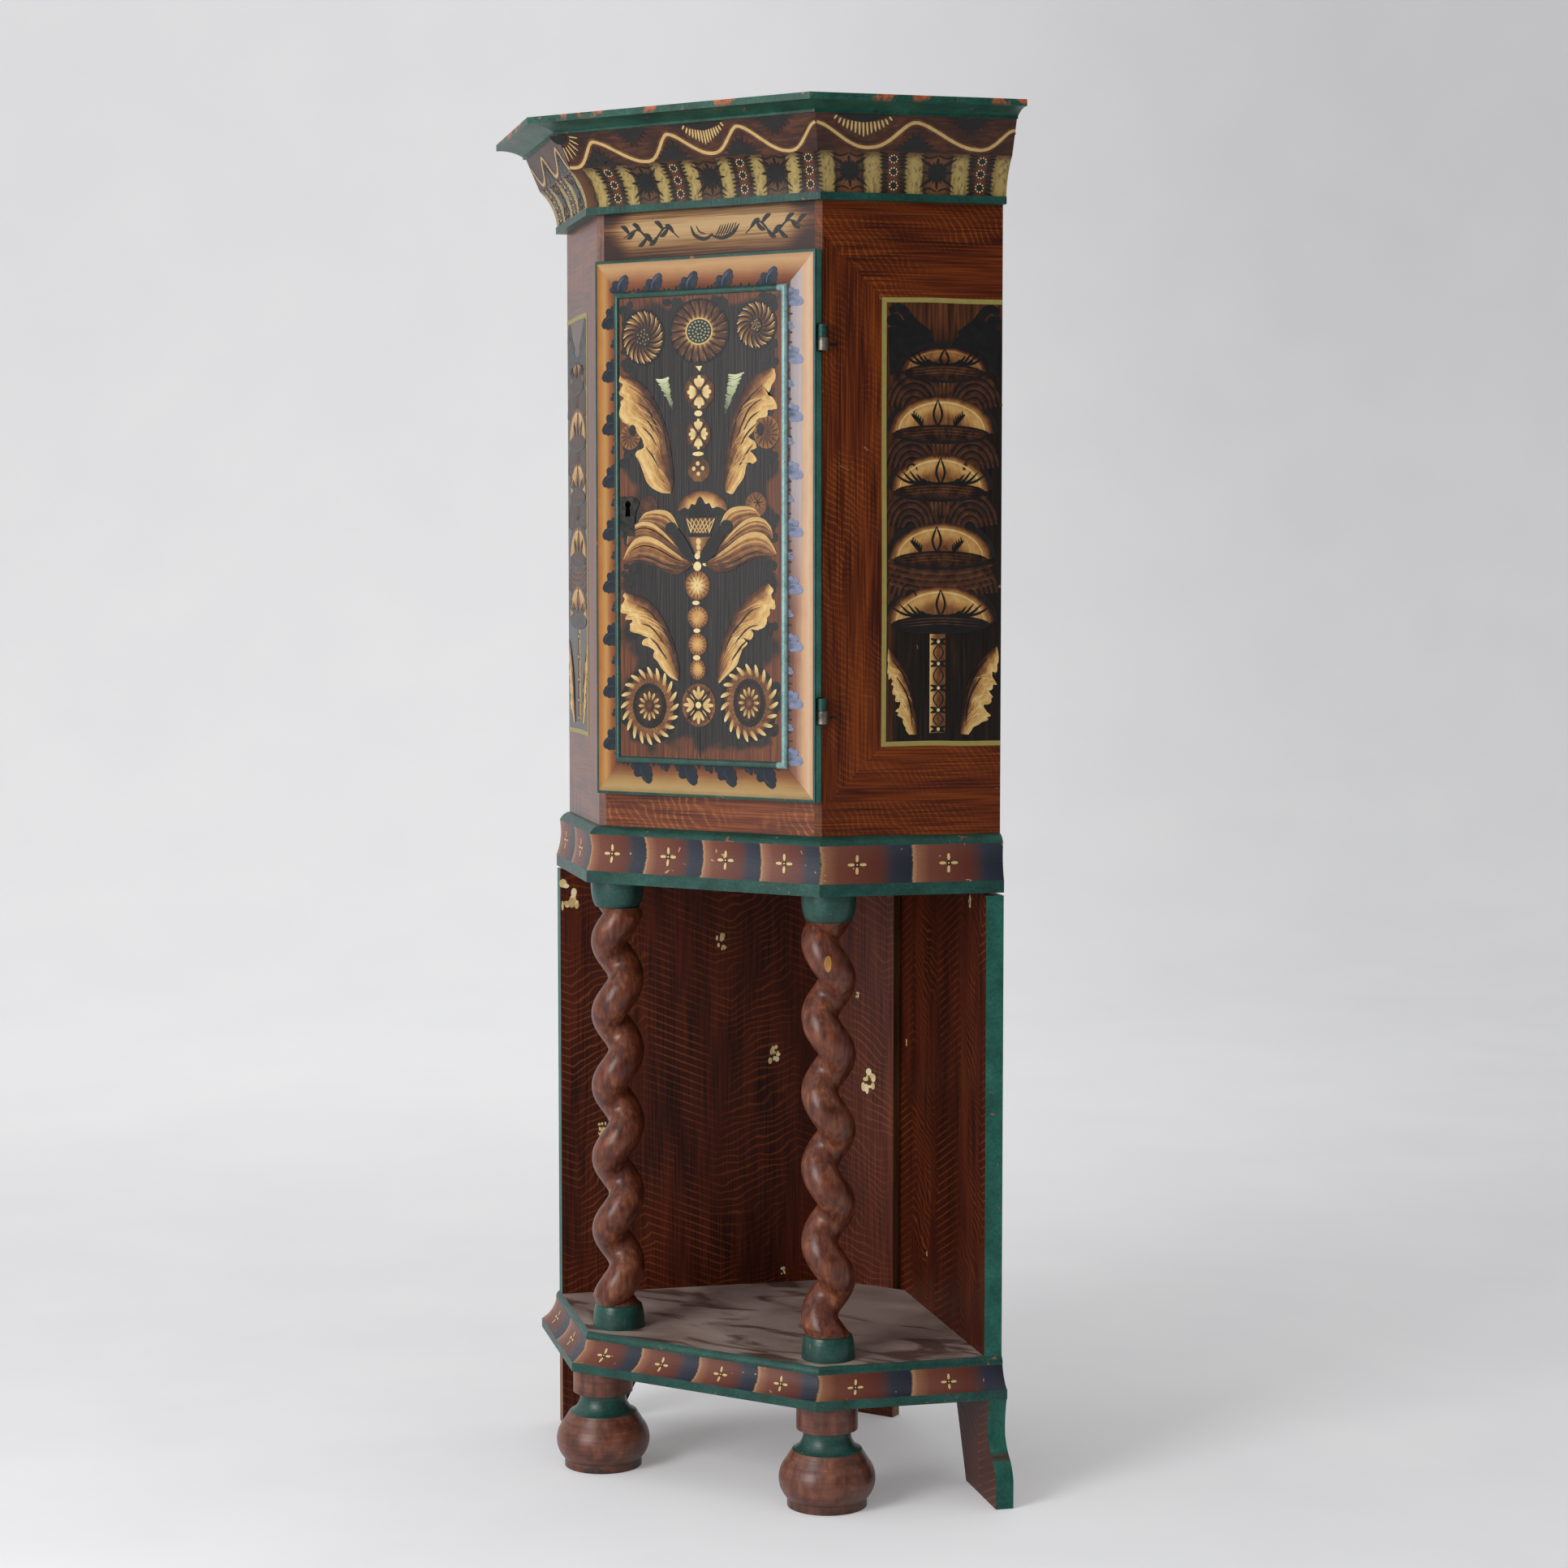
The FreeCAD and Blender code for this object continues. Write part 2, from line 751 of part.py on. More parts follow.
def turned_foot(side):
    body = new_body(f"foot_{SIDE_NAMES[side]}")
    sketch = new_sketch(body, "XZ_Plane", "Turning")
    block_top = moulding_underside
    add_loop(sketch, [
        (ZERO, ZERO),
        (size.foot_base_radius, ZERO),
        (size.foot_base_radius, size.foot_base_height, size.foot_belly_bulge),
        (size.foot_belly_radius, size.foot_belly_height),
        (size.foot_ring_radius, size.foot_ring_height, -size.foot_neck_hollow),
        (size.foot_neck_radius, size.foot_neck_height),
        (size.foot_neck_radius, size.foot_collar_height - size.foot_collar_slope),
        (size.foot_block_radius, size.foot_collar_height),
        (size.foot_block_radius, block_top),
        (size.tenon_radius, block_top),
        (size.tenon_radius, block_top + size.dowel_length),
        (ZERO, block_top + size.dowel_length),
    ])
    revolve(body, sketch)
    place(body, size.foot_across * side, front_line + size.foot_set_back, 0)
    return keep(body)


def turned_solid(profile):
    """Turn a closed outline of (radius, height) pairs about the vertical."""
    spots = [FreeCAD.Vector(radius, 0, height) for radius, height in profile]
    edges = [Part.makeLine(spots[index], spots[index + 1]) for index in range(len(spots) - 1)]
    edges.append(Part.makeLine(spots[-1], spots[0]))
    face = Part.Face(Part.Wire(edges))
    return face.revolve(FreeCAD.Vector(0, 0, 0), FreeCAD.Vector(0, 0, 1), FULL_TURN_DEGREES)


def cup_profile(neck, rim, neck_z, rim_z):
    """Points of a quarter-round cup, from its neck to its rim."""
    points = []
    for step in range(CUP_STEPS + 1):
        angle = math.pi / 2 * step / CUP_STEPS
        radius = neck + (rim - neck) * math.sin(angle)
        height = rim_z + (neck_z - rim_z) * math.cos(angle)
        points.append((radius, height))
    return points


def twisted_shaft(side, bottom, top):
    """A round strand wound about the upright, which runs out into a cone at both ends.

    The two columns wind opposite ways.
    """
    phase = size.column_left_start_degrees.value if side == LEFT else size.column_right_start_degrees.value
    pitch = size.column_pitch.value
    throw = size.column_throw.value
    radius = size.column_shaft_radius.value
    beyond = throw + radius
    upright = FreeCAD.Vector(0, 0, 1)
    helix = Part.makeLongHelix(pitch, top - bottom + 2 * beyond, throw, 0, side == RIGHT)
    wound = FULL_TURN_DEGREES * (top - bottom + beyond) / pitch
    helix.rotate(FreeCAD.Vector(0, 0, 0), upright, phase + side * wound)
    helix.translate(upright * (bottom - beyond))
    first = helix.Edges[0]
    start = first.valueAt(first.FirstParameter)
    along = first.tangentAt(first.FirstParameter)
    sweep = Part.BRepOffsetAPI.MakePipeShell(Part.Wire(helix.Edges))
    sweep.setFrenetMode(True)
    sweep.add(Part.Wire(Part.makeCircle(radius, start, along)))
    sweep.build()
    sweep.makeSolid()
    end_radius = size.column_end_radius.value
    end_taper = size.column_end_taper.value
    clear = beyond + size.cut_margin.value
    envelope = turned_solid([
        (0.0, bottom),
        (end_radius, bottom),
        (clear, bottom + end_taper),
        (clear, top - end_taper),
        (end_radius, top),
        (0.0, top),
    ])
    run_out = size.column_run_out.value
    inset = size.column_run_out_inset.value
    lower_cone = turned_solid([
        (0.0, bottom), (size.column_base_neck.value - inset, bottom), (0.0, bottom + run_out)])
    upper_cone = turned_solid([
        (0.0, top - run_out), (size.column_capital_neck.value - inset, top), (0.0, top)])
    return sweep.shape().common(envelope).fuse([lower_cone, upper_cone])


def twisted_column(side):
    """A column carved from one piece: tenons, base cup, single-strand twist and capital."""
    base_height = size.column_base_height.value
    length = (size.stand_height - size.shelf_height).value
    shaft_top = length - size.column_capital_height.value
    shaft = twisted_shaft(side, base_height, shaft_top)
    tenon = size.tenon_radius.value
    tenon_length = size.tenon_length.value
    neck = size.column_capital_neck.value
    base_cup = cup_profile(size.column_base_neck.value, size.column_base_radius.value, base_height, 0.0)
    base = turned_solid([(0.0, base_height)] + base_cup
                        + [(tenon, 0.0), (tenon, -tenon_length), (0.0, -tenon_length)])
    capital_cup = cup_profile(neck, size.column_capital_radius.value, shaft_top, length)
    capital = turned_solid([(0.0, shaft_top)] + capital_cup
                           + [(tenon, length), (tenon, length + tenon_length), (0.0, length + tenon_length)])
    column = doc.addObject("Part::Feature", f"column_{SIDE_NAMES[side]}")
    column.Label = f"column_{SIDE_NAMES[side]}"
    column.Shape = shaft.fuse([base, capital])
    place(column, size.column_across * side, front_line + size.column_set_back, size.shelf_height)
    return keep(column)


def column_holes(body, reversed_way):
    holes = new_sketch(body, "XY_Plane", "TenonHoles")
    for side in (LEFT, RIGHT):
        add_circle(holes, size.column_across * side, front_line + size.column_set_back, size.tenon_radius)
    pocket(body, holes, size.tenon_length, reversed_way)


def corner_block(side):
    """A block behind the shelf moulding's corner, which a turned foot is dowelled into."""
    body = new_body(f"corner_block_{SIDE_NAMES[side]}")
    sketch = new_sketch(body, "XY_Plane", "Plan")
    leg = size.corner_block_leg
    tip_x = front_half + size.stand_overhang * MITRE
    tip_y = front_line - size.stand_overhang
    corners = [
        (tip_x, tip_y),
        (tip_x + leg * COS45, tip_y + leg * COS45),
        (tip_x - leg * MITRE, tip_y + leg),
        (tip_x - leg, tip_y),
    ]
    add_loop(sketch, handed(corners, side))
    pad(body, sketch, shelf_underside - moulding_underside)
    hole = new_sketch(body, "XY_Plane", "DowelHole")
    add_circle(hole, size.foot_across * side, front_line + size.foot_set_back, size.tenon_radius)
    pocket(body, hole, size.dowel_length, True)
    place(body, 0, 0, moulding_underside)
    return keep(body)


# Door strips with mitred ends, drawn on the door's face with the door's lower left corner as origin
def door_strip(label, where, profile, frame, widths, start, base_y):
    """One of four strips of a rectangular frame.

    The profile runs from the strip's outer edge inwards, as (distance in, height) pairs.
    """
    frame_width, frame_height = frame
    side_width, end_width = widths
    body = new_body(label)
    upright = where in ("left", "right")
    outline = [(corner[0], -corner[1]) + tuple(corner[2:]) for corner in profile]
    if upright:
        section = new_sketch(body, "XY_Plane", "Section")
        shifted = outline if where == "left" else mirror_profile(outline, frame_width)
        add_loop(section, shifted)
        pad(body, section, frame_height)
    else:
        section = new_sketch(body, "YZ_Plane", "Section")
        turned = turn_profile(outline, frame_height, where == "top")
        add_loop(section, turned)
        pad(body, section, frame_width)
    mitres = new_sketch(body, "XZ_Plane", "Mitres")
    for wedge in strip_wedges(where, frame_width, frame_height, side_width, end_width):
        add_loop(mitres, wedge)
    pocket(body, mitres, reversed_way=True)
    place(body, start[0], base_y, start[1])
    return body


def mirror_profile(outline, frame_width):
    flipped = [(frame_width - corner[0], corner[1]) for corner in reversed(outline)]
    bulges = [corner[2] if len(corner) == 3 else None for corner in reversed(outline)]
    bulges = bulges[1:] + bulges[:1]
    return [spot if bulge is None else spot + (bulge,) for spot, bulge in zip(flipped, bulges)]


def turn_profile(outline, frame_height, at_top):
    """Lay a profile of (in, out) pairs on its side, as (out, up) pairs of a level strip."""
    if at_top:
        return [(corner[1], frame_height - corner[0]) + tuple(corner[2:]) for corner in outline]
    swapped = [(corner[1], corner[0]) for corner in reversed(outline)]
    bulges = [corner[2] if len(corner) == 3 else None for corner in reversed(outline)]
    bulges = bulges[1:] + bulges[:1]
    return [spot if bulge is None else spot + (bulge,) for spot, bulge in zip(swapped, bulges)]


def strip_wedges(where, frame_width, frame_height, side_width, end_width):
    """The two triangles that a strip loses to its neighbours at its mitres."""
    inner_left = side_width
    inner_right = frame_width - side_width
    inner_bottom = end_width
    inner_top = frame_height - end_width
    if where == "left":
        return [
            [(ZERO, ZERO), (inner_left, ZERO), (inner_left, inner_bottom)],
            [(ZERO, frame_height), (inner_left, inner_top), (inner_left, frame_height)],
        ]
    if where == "right":
        return [
            [(frame_width, ZERO), (inner_right, inner_bottom), (inner_right, ZERO)],
            [(frame_width, frame_height), (inner_right, frame_height), (inner_right, inner_top)],
        ]
    if where == "bottom":
        return [
            [(ZERO, ZERO), (inner_left, inner_bottom), (ZERO, inner_bottom)],
            [(frame_width, ZERO), (frame_width, inner_bottom), (inner_right, inner_bottom)],
        ]
    return [
        [(ZERO, frame_height), (ZERO, inner_top), (inner_left, inner_top)],
        [(frame_width, frame_height), (inner_right, inner_top), (frame_width, inner_top)],
    ]


def frame_profile(width):
    """A strip that rises in a shallow hollow from the door's edge to the field."""
    return [
        (ZERO, ZERO),
        (ZERO, size.door_frame_edge, -size.door_frame_hollow),
        (width, size.door_frame_rise),
        (width, ZERO),
    ]


def bead_profile():
    """A round-topped bead on a square foot."""
    width = size.field_bead
    foot = size.field_bead_height
    return [(ZERO, ZERO), (ZERO, foot, size.field_bead_round), (width, foot), (width, ZERO)]


def keyhole_loop(sketch, x, z):
    """A round eye over a slot that widens downwards."""
    half = size.keyhole_slot / 2
    foot = size.keyhole_foot / 2
    eye = size.keyhole_eye / 2
    bulge = eye + root(eye * eye - half * half)
    add_loop(sketch, [
        (x - foot, z - size.keyhole_drop),
        (x + foot, z - size.keyhole_drop),
        (x + half, z, bulge),
        (x - half, z),
    ])


def with_keyhole(label, outline, thickness, x, y, z):
    """A flat piece on the door, with the keyhole through it."""
    body = new_body(label)
    sketch = new_sketch(body, "XZ_Plane", "Face")
    add_loop(sketch, outline)
    pad(body, sketch, thickness)
    hole = new_sketch(body, "XZ_Plane", "Keyhole")
    keyhole_loop(hole, keyhole_x - x, keyhole_z - z)
    pocket(body, hole, reversed_way=True)
    place(body, x, y, z)
    return body


def panel_with_keyhole(label, width, height, thickness, x, y, z):
    outline = [(ZERO, ZERO), (width, ZERO), (width, height), (ZERO, height)]
    return with_keyhole(label, outline, thickness, x, y, z)


def key_plate_outline():
    """A round-headed plate over a narrower tongue, straight on the side next to the bead."""
    return [
        (-size.key_plate_left, -size.key_plate_drop),
        (size.key_plate_waist, -size.key_plate_drop),
        (size.key_plate_waist, -size.key_plate_neck, -size.key_plate_scoop),
        (size.key_plate_reach, size.key_plate_shoulder, size.key_plate_round),
        (size.key_plate_crown, size.key_plate_rise),
        (-size.key_plate_left, size.key_plate_rise),
    ]


def make_door():
    board = panel_with_keyhole("door_board_blank", door_width, size.door_height, size.door_board,
                               door_left, door_back_y, door_bottom)
    keep(cut("door_board", board, hinge_cuts_in_door()))
    frame = (door_width, size.door_height)
    widths = (size.door_frame_side, size.door_frame_end)
    corner = (door_left, door_bottom)
    for where in ("top", "bottom", "left", "right"):
        width = size.door_frame_side if where in ("left", "right") else size.door_frame_end
        keep(door_strip(f"door_frame_{where}", where, frame_profile(width), frame, widths,
                        corner, door_face_y))
    field_x = door_left + size.door_frame_side
    field_z = door_bottom + size.door_frame_end
    bead_frame = (door_width - size.door_frame_side * 2, size.door_height - size.door_frame_end * 2)
    bead_widths = (size.field_bead, size.field_bead)
    beads = [door_strip(f"bead_{where}", where, bead_profile(), bead_frame, bead_widths,
                        (field_x, field_z), door_face_y)
             for where in ("top", "bottom", "left", "right")]
    keep(group("field_bead", beads))
    keep(panel_with_keyhole("door_field", bead_frame[0] - size.field_bead * 2,
                            bead_frame[1] - size.field_bead * 2, size.field_board,
                            field_x + size.field_bead, door_face_y, field_z + size.field_bead))
    keep(with_keyhole("keyhole_plate", key_plate_outline(), size.key_plate_board,
                      keyhole_x, door_face_y - size.field_board, keyhole_z))
    lower = door_bottom + size.batten_inset
    upper = door_top - size.batten_inset - size.batten_width
    half_batten = opening_half - size.batten_end_gap
    for name, bottom in (("lower", lower), ("upper", upper)):
        keep(box(f"door_batten_{name}", half_batten * 2, size.batten_board, size.batten_width,
                 -half_batten, door_back_y, bottom))


def hinge_cuts_in_door():
    tools = []
    gap = size.hinge_slot_clearance
    width = size.hinge_leaf_board + gap * 2
    half_notch = size.hinge_knuckle_length + size.hinge_notch_margin
    for name, middle in hinge_heights.items():
        notch_width = size.hinge_notch_depth + size.cut_margin
        tools.append(box(f"{name}_knuckle_notch", notch_width, size.door_board + size.cut_margin,
                         half_notch * 2, door_right - size.hinge_notch_depth,
                         door_face_y, middle - half_notch))
        tools.append(box(f"{name}_door_leaf_slot", size.hinge_leaf_reach + gap, width,
                         size.hinge_knuckle_length + gap * 2,
                         hinge_x - size.hinge_leaf_reach - gap, hinge_y - width / 2,
                         middle + size.hinge_knuckle_gap - gap))
        tools.extend(door_nail_shapes(name, size.nail_clearance))
    return tools


# Hinges
def knuckle(label, bottom, clearance):
    barrel = cylinder(f"{label}_barrel", size.hinge_knuckle_radius, size.hinge_knuckle_length,
                      hinge_x, hinge_y, bottom)
    bore = cylinder(f"{label}_bore", size.hinge_pin_radius + clearance, size.hinge_knuckle_length,
                    hinge_x, hinge_y, bottom)
    return cut(f"{label}_knuckle", barrel, [bore])


def hinge(name, middle):
    """A lift-off hinge: the door's knuckle stands on the frame's knuckle, round one pin."""
    reach = size.hinge_leaf_reach - size.hinge_leaf_start
    thickness = size.hinge_leaf_board
    length = size.hinge_knuckle_length
    door_z = middle + size.hinge_knuckle_gap
    door_plate = box(f"{name}_door_plate", reach, thickness, length,
                     hinge_x - size.hinge_leaf_reach, hinge_y - thickness / 2, door_z)
    door_knuckle = knuckle(f"{name}_door", door_z, size.hinge_running_clearance)
    door_blank = fuse(f"{name}_door_blank", [door_plate, door_knuckle])
    keep(cut(f"hinge_{name}_door_leaf", door_blank, door_nail_shapes(name, size.nail_clearance)))
    frame_z = middle - length
    frame_plate = box(f"{name}_frame_plate", thickness, reach, length,
                      hinge_x - thickness / 2, hinge_y + size.hinge_leaf_start, frame_z)
    frame_knuckle = knuckle(f"{name}_frame", frame_z, size.nail_clearance)
    frame_blank = fuse(f"{name}_frame_blank", [frame_plate, frame_knuckle])
    keep(cut(f"hinge_{name}_frame_leaf", frame_blank, side_nail_shapes(name, size.nail_clearance)))


def hinge_pins():
    length = size.hinge_knuckle_length * 2
    pins = [cylinder(f"{name}_pin", size.hinge_pin_radius, length, hinge_x, hinge_y,
                     middle - size.hinge_knuckle_length)
            for name, middle in hinge_heights.items()]
    return keep(group("hinge_pins", pins))


def nail(label, clearance, x, y, z, axis, angle):
    """A clout nail whose head lies flush, driven along its own axis from a face."""
    shank = doc.addObject("Part::Cylinder", f"{label}_shank")
    shank.setExpression("Radius", (size.nail_radius + clearance).text)
    shank.setExpression("Height", (size.nail_length + clearance).text)
    head = doc.addObject("Part::Cylinder", f"{label}_head")
    head.setExpression("Radius", (size.nail_head_radius + clearance).text)
    head.setExpression("Height", size.nail_head.text)
    for piece in (shank, head):
        place(piece, x, y, z)
        piece.Placement.Rotation = FreeCAD.Rotation(axis, angle)
    return fuse(label, [shank, head])


def door_nail_shapes(name, clearance):
    """Two nails from the door's back through the leaf in its edge."""
    middle = hinge_heights[name] + size.hinge_knuckle_gap + size.hinge_knuckle_length / 2
    first = hinge_x - size.hinge_leaf_reach + size.nail_spacing / 2
    tag = "nail" if clearance is ZERO else "nail_hole"
    return [nail(f"{name}_door_{tag}_{index}", clearance, first + size.nail_spacing * index,
                 door_back_y, middle, FreeCAD.Vector(1, 0, 0), 90)
            for index in range(2)]


def side_nail_shapes(name, clearance):
    """Two nails from the return's face, square to it, through the leaf in the side board."""
    middle = hinge_heights[name] - size.hinge_knuckle_length / 2
    tag = "nail" if clearance is ZERO else "nail_hole"
    first = hinge_y + size.hinge_leaf_reach - size.nail_spacing / 2
    nails = []
    for index in range(2):
        leaf_y = first - size.nail_spacing * index
        # A line from the leaf, square to the return, meets the return's face here
        off_face = ((hinge_x - front_half) - (leaf_y - front_line)) * COS45
        face_x = hinge_x - off_face * COS45
        face_y = leaf_y + off_face * COS45
        nails.append(nail(f"{name}_side_{tag}_{index}", clearance, face_x, face_y, middle,
                          FreeCAD.Vector(1, 1, 0), -90))
    return nails


# Lock on the back of the door
def lock_left():
    return -opening_half + size.lock_edge_gap


def lock_bottom():
    return keyhole_z - size.lock_case_height / 2


def bolt_front():
    return door_back_y + size.bolt_inset


def bolt_bottom():
    return keyhole_z + size.bolt_rise - size.bolt_height / 2


def keep_bottom():
    return keyhole_z + size.bolt_rise - size.keep_height / 2


def lock_case():
    """An iron tray screwed to the door's back, with the bolt's slot and the key's pin."""
    wall = size.lock_case_wall
    outer = box("lock_tray", size.lock_case_width, size.lock_case_depth, size.lock_case_height,
                lock_left(), door_back_y, lock_bottom())
    hollow = box("lock_hollow", size.lock_case_width - wall * 2, size.lock_case_depth - wall,
                 size.lock_case_height - wall * 2, lock_left() + wall, door_back_y, lock_bottom() + wall)
    gap = size.bolt_clearance
    slot = box("lock_slot", wall * 2, size.bolt_board + gap * 2, size.bolt_height + gap * 2,
               lock_left() - wall / 2, bolt_front() - gap, bolt_bottom() - gap)
    tray = cut("lock_shell", outer, [hollow, slot])
    pin = doc.addObject("Part::Cylinder", "lock_key_pin")
    pin.setExpression("Radius", size.lock_pin_radius.text)
    pin.setExpression("Height", size.lock_pin_length.text)
    pin_start = door_back_y + size.lock_case_depth - wall / 2 - size.lock_pin_length
    place(pin, keyhole_x, pin_start, keyhole_z)
    pin.Placement.Rotation = FreeCAD.Rotation(FreeCAD.Vector(1, 0, 0), -90)
    keep(fuse("lock_case", [tray, pin]))


def lock_bolt():
    keep(box("lock_bolt", size.bolt_length, size.bolt_board, size.bolt_height,
             lock_left(), bolt_front(), bolt_bottom()))


def lock_keep():
    plate = box("keep_plate", size.keep_board, size.keep_width, size.keep_height,
                -opening_half - size.keep_board, front_line + size.keep_inset, keep_bottom())
    gap = size.bolt_clearance
    window = box("keep_window", size.keep_board * 2, size.bolt_board + gap * 2,
                 size.bolt_height + gap * 2, -opening_half - size.keep_board * 1.5,
                 bolt_front() - gap, bolt_bottom() - gap)
    keep(cut("lock_keep", plate, [window]))


# The stand
for side in (LEFT, RIGHT):
    stand_wall(side)
    twisted_column(side)
    turned_foot(side)
    corner_block(side)
corner_post("stand_back_post", ZERO, size.stand_height)
stand_shelf = plan_board(
    "stand_shelf",
    inside_outline(size.wall_board, size.wall_length + size.stand_overhang,
                   front_line - size.stand_overhang, ZERO),
    shelf_underside, size.shelf_board)
seats = new_sketch(stand_shelf, "XY_Plane", "TenonHoles")
for side in (LEFT, RIGHT):
    add_circle(seats, size.column_across * side, front_line + size.column_set_back, size.tenon_radius)
pocket(stand_shelf, seats, None, True)
moulding_set("shelf_moulding", shelf_profile(), size.shelf_moulding_reach, moulding_underside)
keep(group("stand_shelf_cleats",
           [wall_cleat(f"stand_cleat_{SIDE_NAMES[side]}", shelf_underside, side) for side in (LEFT, RIGHT)]))

# The cupboard's carcass
base_board = plan_board("base_board", full_outline(), size.stand_height, size.base_board)
column_holes(base_board, True)
for side in (LEFT, RIGHT):
    cupboard_wall(side)
    side_panel(side)
corner_post("cupboard_back_post", carcass_bottom, frieze_top)
rail("bottom_rail", carcass_bottom, door_bottom + size.door_lap)
rail("top_rail", door_top - size.door_lap, frieze_top)
plan_board("cupboard_top", full_outline(), frieze_top, size.top_board)

# Shelves inside, each on two wall cleats
inside_wall = size.wall_board + size.shelf_clearance
inside_return = size.wall_length - size.side_board - size.shelf_clearance
rail_back = front_line + size.rail_board
shelf_front = front_line + size.inner_shelf_set_back
cleats = []
for name, rise, front_edge in (
        ("cupboard_floor", size.floor_rise, rail_back),
        ("inner_shelf_lower", size.lower_shelf_rise, shelf_front),
        ("inner_shelf_upper", size.upper_shelf_rise, shelf_front)):
    underside = size.stand_height + rise - size.inner_shelf_board
    plan_board(name, inside_outline(inside_wall, inside_return, front_edge, size.shelf_clearance),
               underside, size.inner_shelf_board)
    for side in (LEFT, RIGHT):
        cleats.append(wall_cleat(f"{name}_cleat_{SIDE_NAMES[side]}", underside, side))
keep(group("inner_shelf_cleats", cleats))

# Mouldings of the cupboard, from the bottom up
moulding_set("base_moulding", base_profile(), size.base_moulding_reach, size.stand_height)
moulding_set("cove", cove_profile(), size.cove_reach, cove_bottom)
moulding_set("frieze", frieze_profile(), size.frieze_reach, cove_bottom + size.cove_height)
moulding_set("crown", crown_profile(), size.crown_reach, frieze_top)

# The door, its hinges and its lock
make_door()
for name, middle in hinge_heights.items():
    hinge(name, middle)
hinge_pins()
keep(group("hinge_nails_door", [piece for name in hinge_heights for piece in door_nail_shapes(name, ZERO)]))
keep(group("hinge_nails_frame", [piece for name in hinge_heights for piece in side_nail_shapes(name, ZERO)]))
lock_case()
lock_bolt()
lock_keep()

doc.recompute()

# Check everything, then write each piece
faults = [item.Label for item in doc.Objects if "Invalid" in item.State or "Error" in item.State]
faults += [piece.Label for piece in finished if piece.Shape.isNull() or not piece.Shape.isValid()]
if faults:
    raise RuntimeError(f"these pieces failed: {sorted(set(faults))}")
os.makedirs("parts", exist_ok=True)
for piece in finished:
    piece.Shape.exportStep(os.path.join("parts", f"{piece.Label}.step"))
print(f"{len(finished)} pieces written")
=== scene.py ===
import collections
import itertools
import math
import random

import bmesh
import bpy
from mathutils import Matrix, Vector


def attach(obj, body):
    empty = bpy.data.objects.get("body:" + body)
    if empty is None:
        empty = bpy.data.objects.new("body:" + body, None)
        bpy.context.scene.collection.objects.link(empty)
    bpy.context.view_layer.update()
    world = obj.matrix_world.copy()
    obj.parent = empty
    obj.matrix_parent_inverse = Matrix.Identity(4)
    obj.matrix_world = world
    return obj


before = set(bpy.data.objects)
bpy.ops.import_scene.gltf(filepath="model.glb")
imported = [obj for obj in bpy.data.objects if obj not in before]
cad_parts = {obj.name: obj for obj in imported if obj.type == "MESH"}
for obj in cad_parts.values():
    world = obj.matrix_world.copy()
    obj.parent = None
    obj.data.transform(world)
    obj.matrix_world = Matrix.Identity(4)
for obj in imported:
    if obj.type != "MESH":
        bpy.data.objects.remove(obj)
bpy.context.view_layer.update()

# A painted corner cabinet, dressed over its CAD frame.
# All lengths are in metres, in the frame's own coordinates.

MM = 0.001
COS45 = math.sqrt(0.5)
MITRE = math.sqrt(2.0) - 1.0
UP = Vector((0.0, 0.0, 1.0))

# Plan of the cupboard, as the CAD has it
WALL_LENGTH = 511 * MM
RETURN_LENGTH = 252 * MM
CROWN_REACH = 104 * MM
CORNER_CUT = 75 * MM
FRONT_HALF = (WALL_LENGTH - RETURN_LENGTH) * COS45
FRONT_TO_CORNER = (WALL_LENGTH + RETURN_LENGTH) * COS45
CORNER_Y = (CROWN_REACH + FRONT_TO_CORNER + CORNER_CUT * COS45) / 2
FRONT_Y = CORNER_Y - FRONT_TO_CORNER
DOOR_RIGHT = FRONT_HALF - 1 * MM
DOOR_LEFT = DOOR_RIGHT - 357 * MM
DOOR_BOTTOM = 968 * MM
DOOR_TOP = 1708 * MM
DOOR_FACE_Y = FRONT_Y - 13.5 * MM
FIELD_FACE_Y = DOOR_FACE_Y - 12.5 * MM
FRAME_SIDE = 38 * MM
FRAME_END = 45 * MM
# Each strip of the door's frame: the axis across it, its outer edge, the way inwards and its width
FRAME_EDGES = {
    "top": ("z", DOOR_TOP, -1, FRAME_END),
    "bottom": ("z", DOOR_BOTTOM, 1, FRAME_END),
    "left": ("x", DOOR_LEFT, 1, FRAME_SIDE),
    "right": ("x", DOOR_RIGHT, -1, FRAME_SIDE),
}

LEFT, FRONT, RIGHT = -1, 0, 1
BOTH = (LEFT, RIGHT)
SIDES = (LEFT, FRONT, RIGHT)
SIDE_WORDS = {LEFT: "left", FRONT: "front", RIGHT: "right"}
ACROSS = {
    LEFT: Vector((COS45, -COS45, 0.0)),
    FRONT: Vector((1.0, 0.0, 0.0)),
    RIGHT: Vector((COS45, COS45, 0.0)),
}
OUT = {side: ACROSS[side].cross(UP) for side in ACROSS}
CORNER = {
    LEFT: Vector((-FRONT_HALF, FRONT_Y, 0.0)),
    FRONT: Vector((0.0, FRONT_Y, 0.0)),
    RIGHT: Vector((FRONT_HALF, FRONT_Y, 0.0)),
}


def rgb(code):
    """A linear colour from a six-figure sRGB code."""
    parts = [int(code[index:index + 2], 16) / 255 for index in (0, 2, 4)]
    linear = [part / 12.92 if part <= 0.04045 else ((part + 0.055) / 1.055) ** 2.4 for part in parts]
    return (*linear, 1.0)


# Node helpers
def plug(tree, value, socket):
    """Lead a field, another node's output or a plain value into a socket."""
    if isinstance(value, Field):
        tree.links.new(value.socket, socket)
    elif isinstance(value, bpy.types.NodeSocket):
        tree.links.new(value, socket)
    else:
        socket.default_value = value


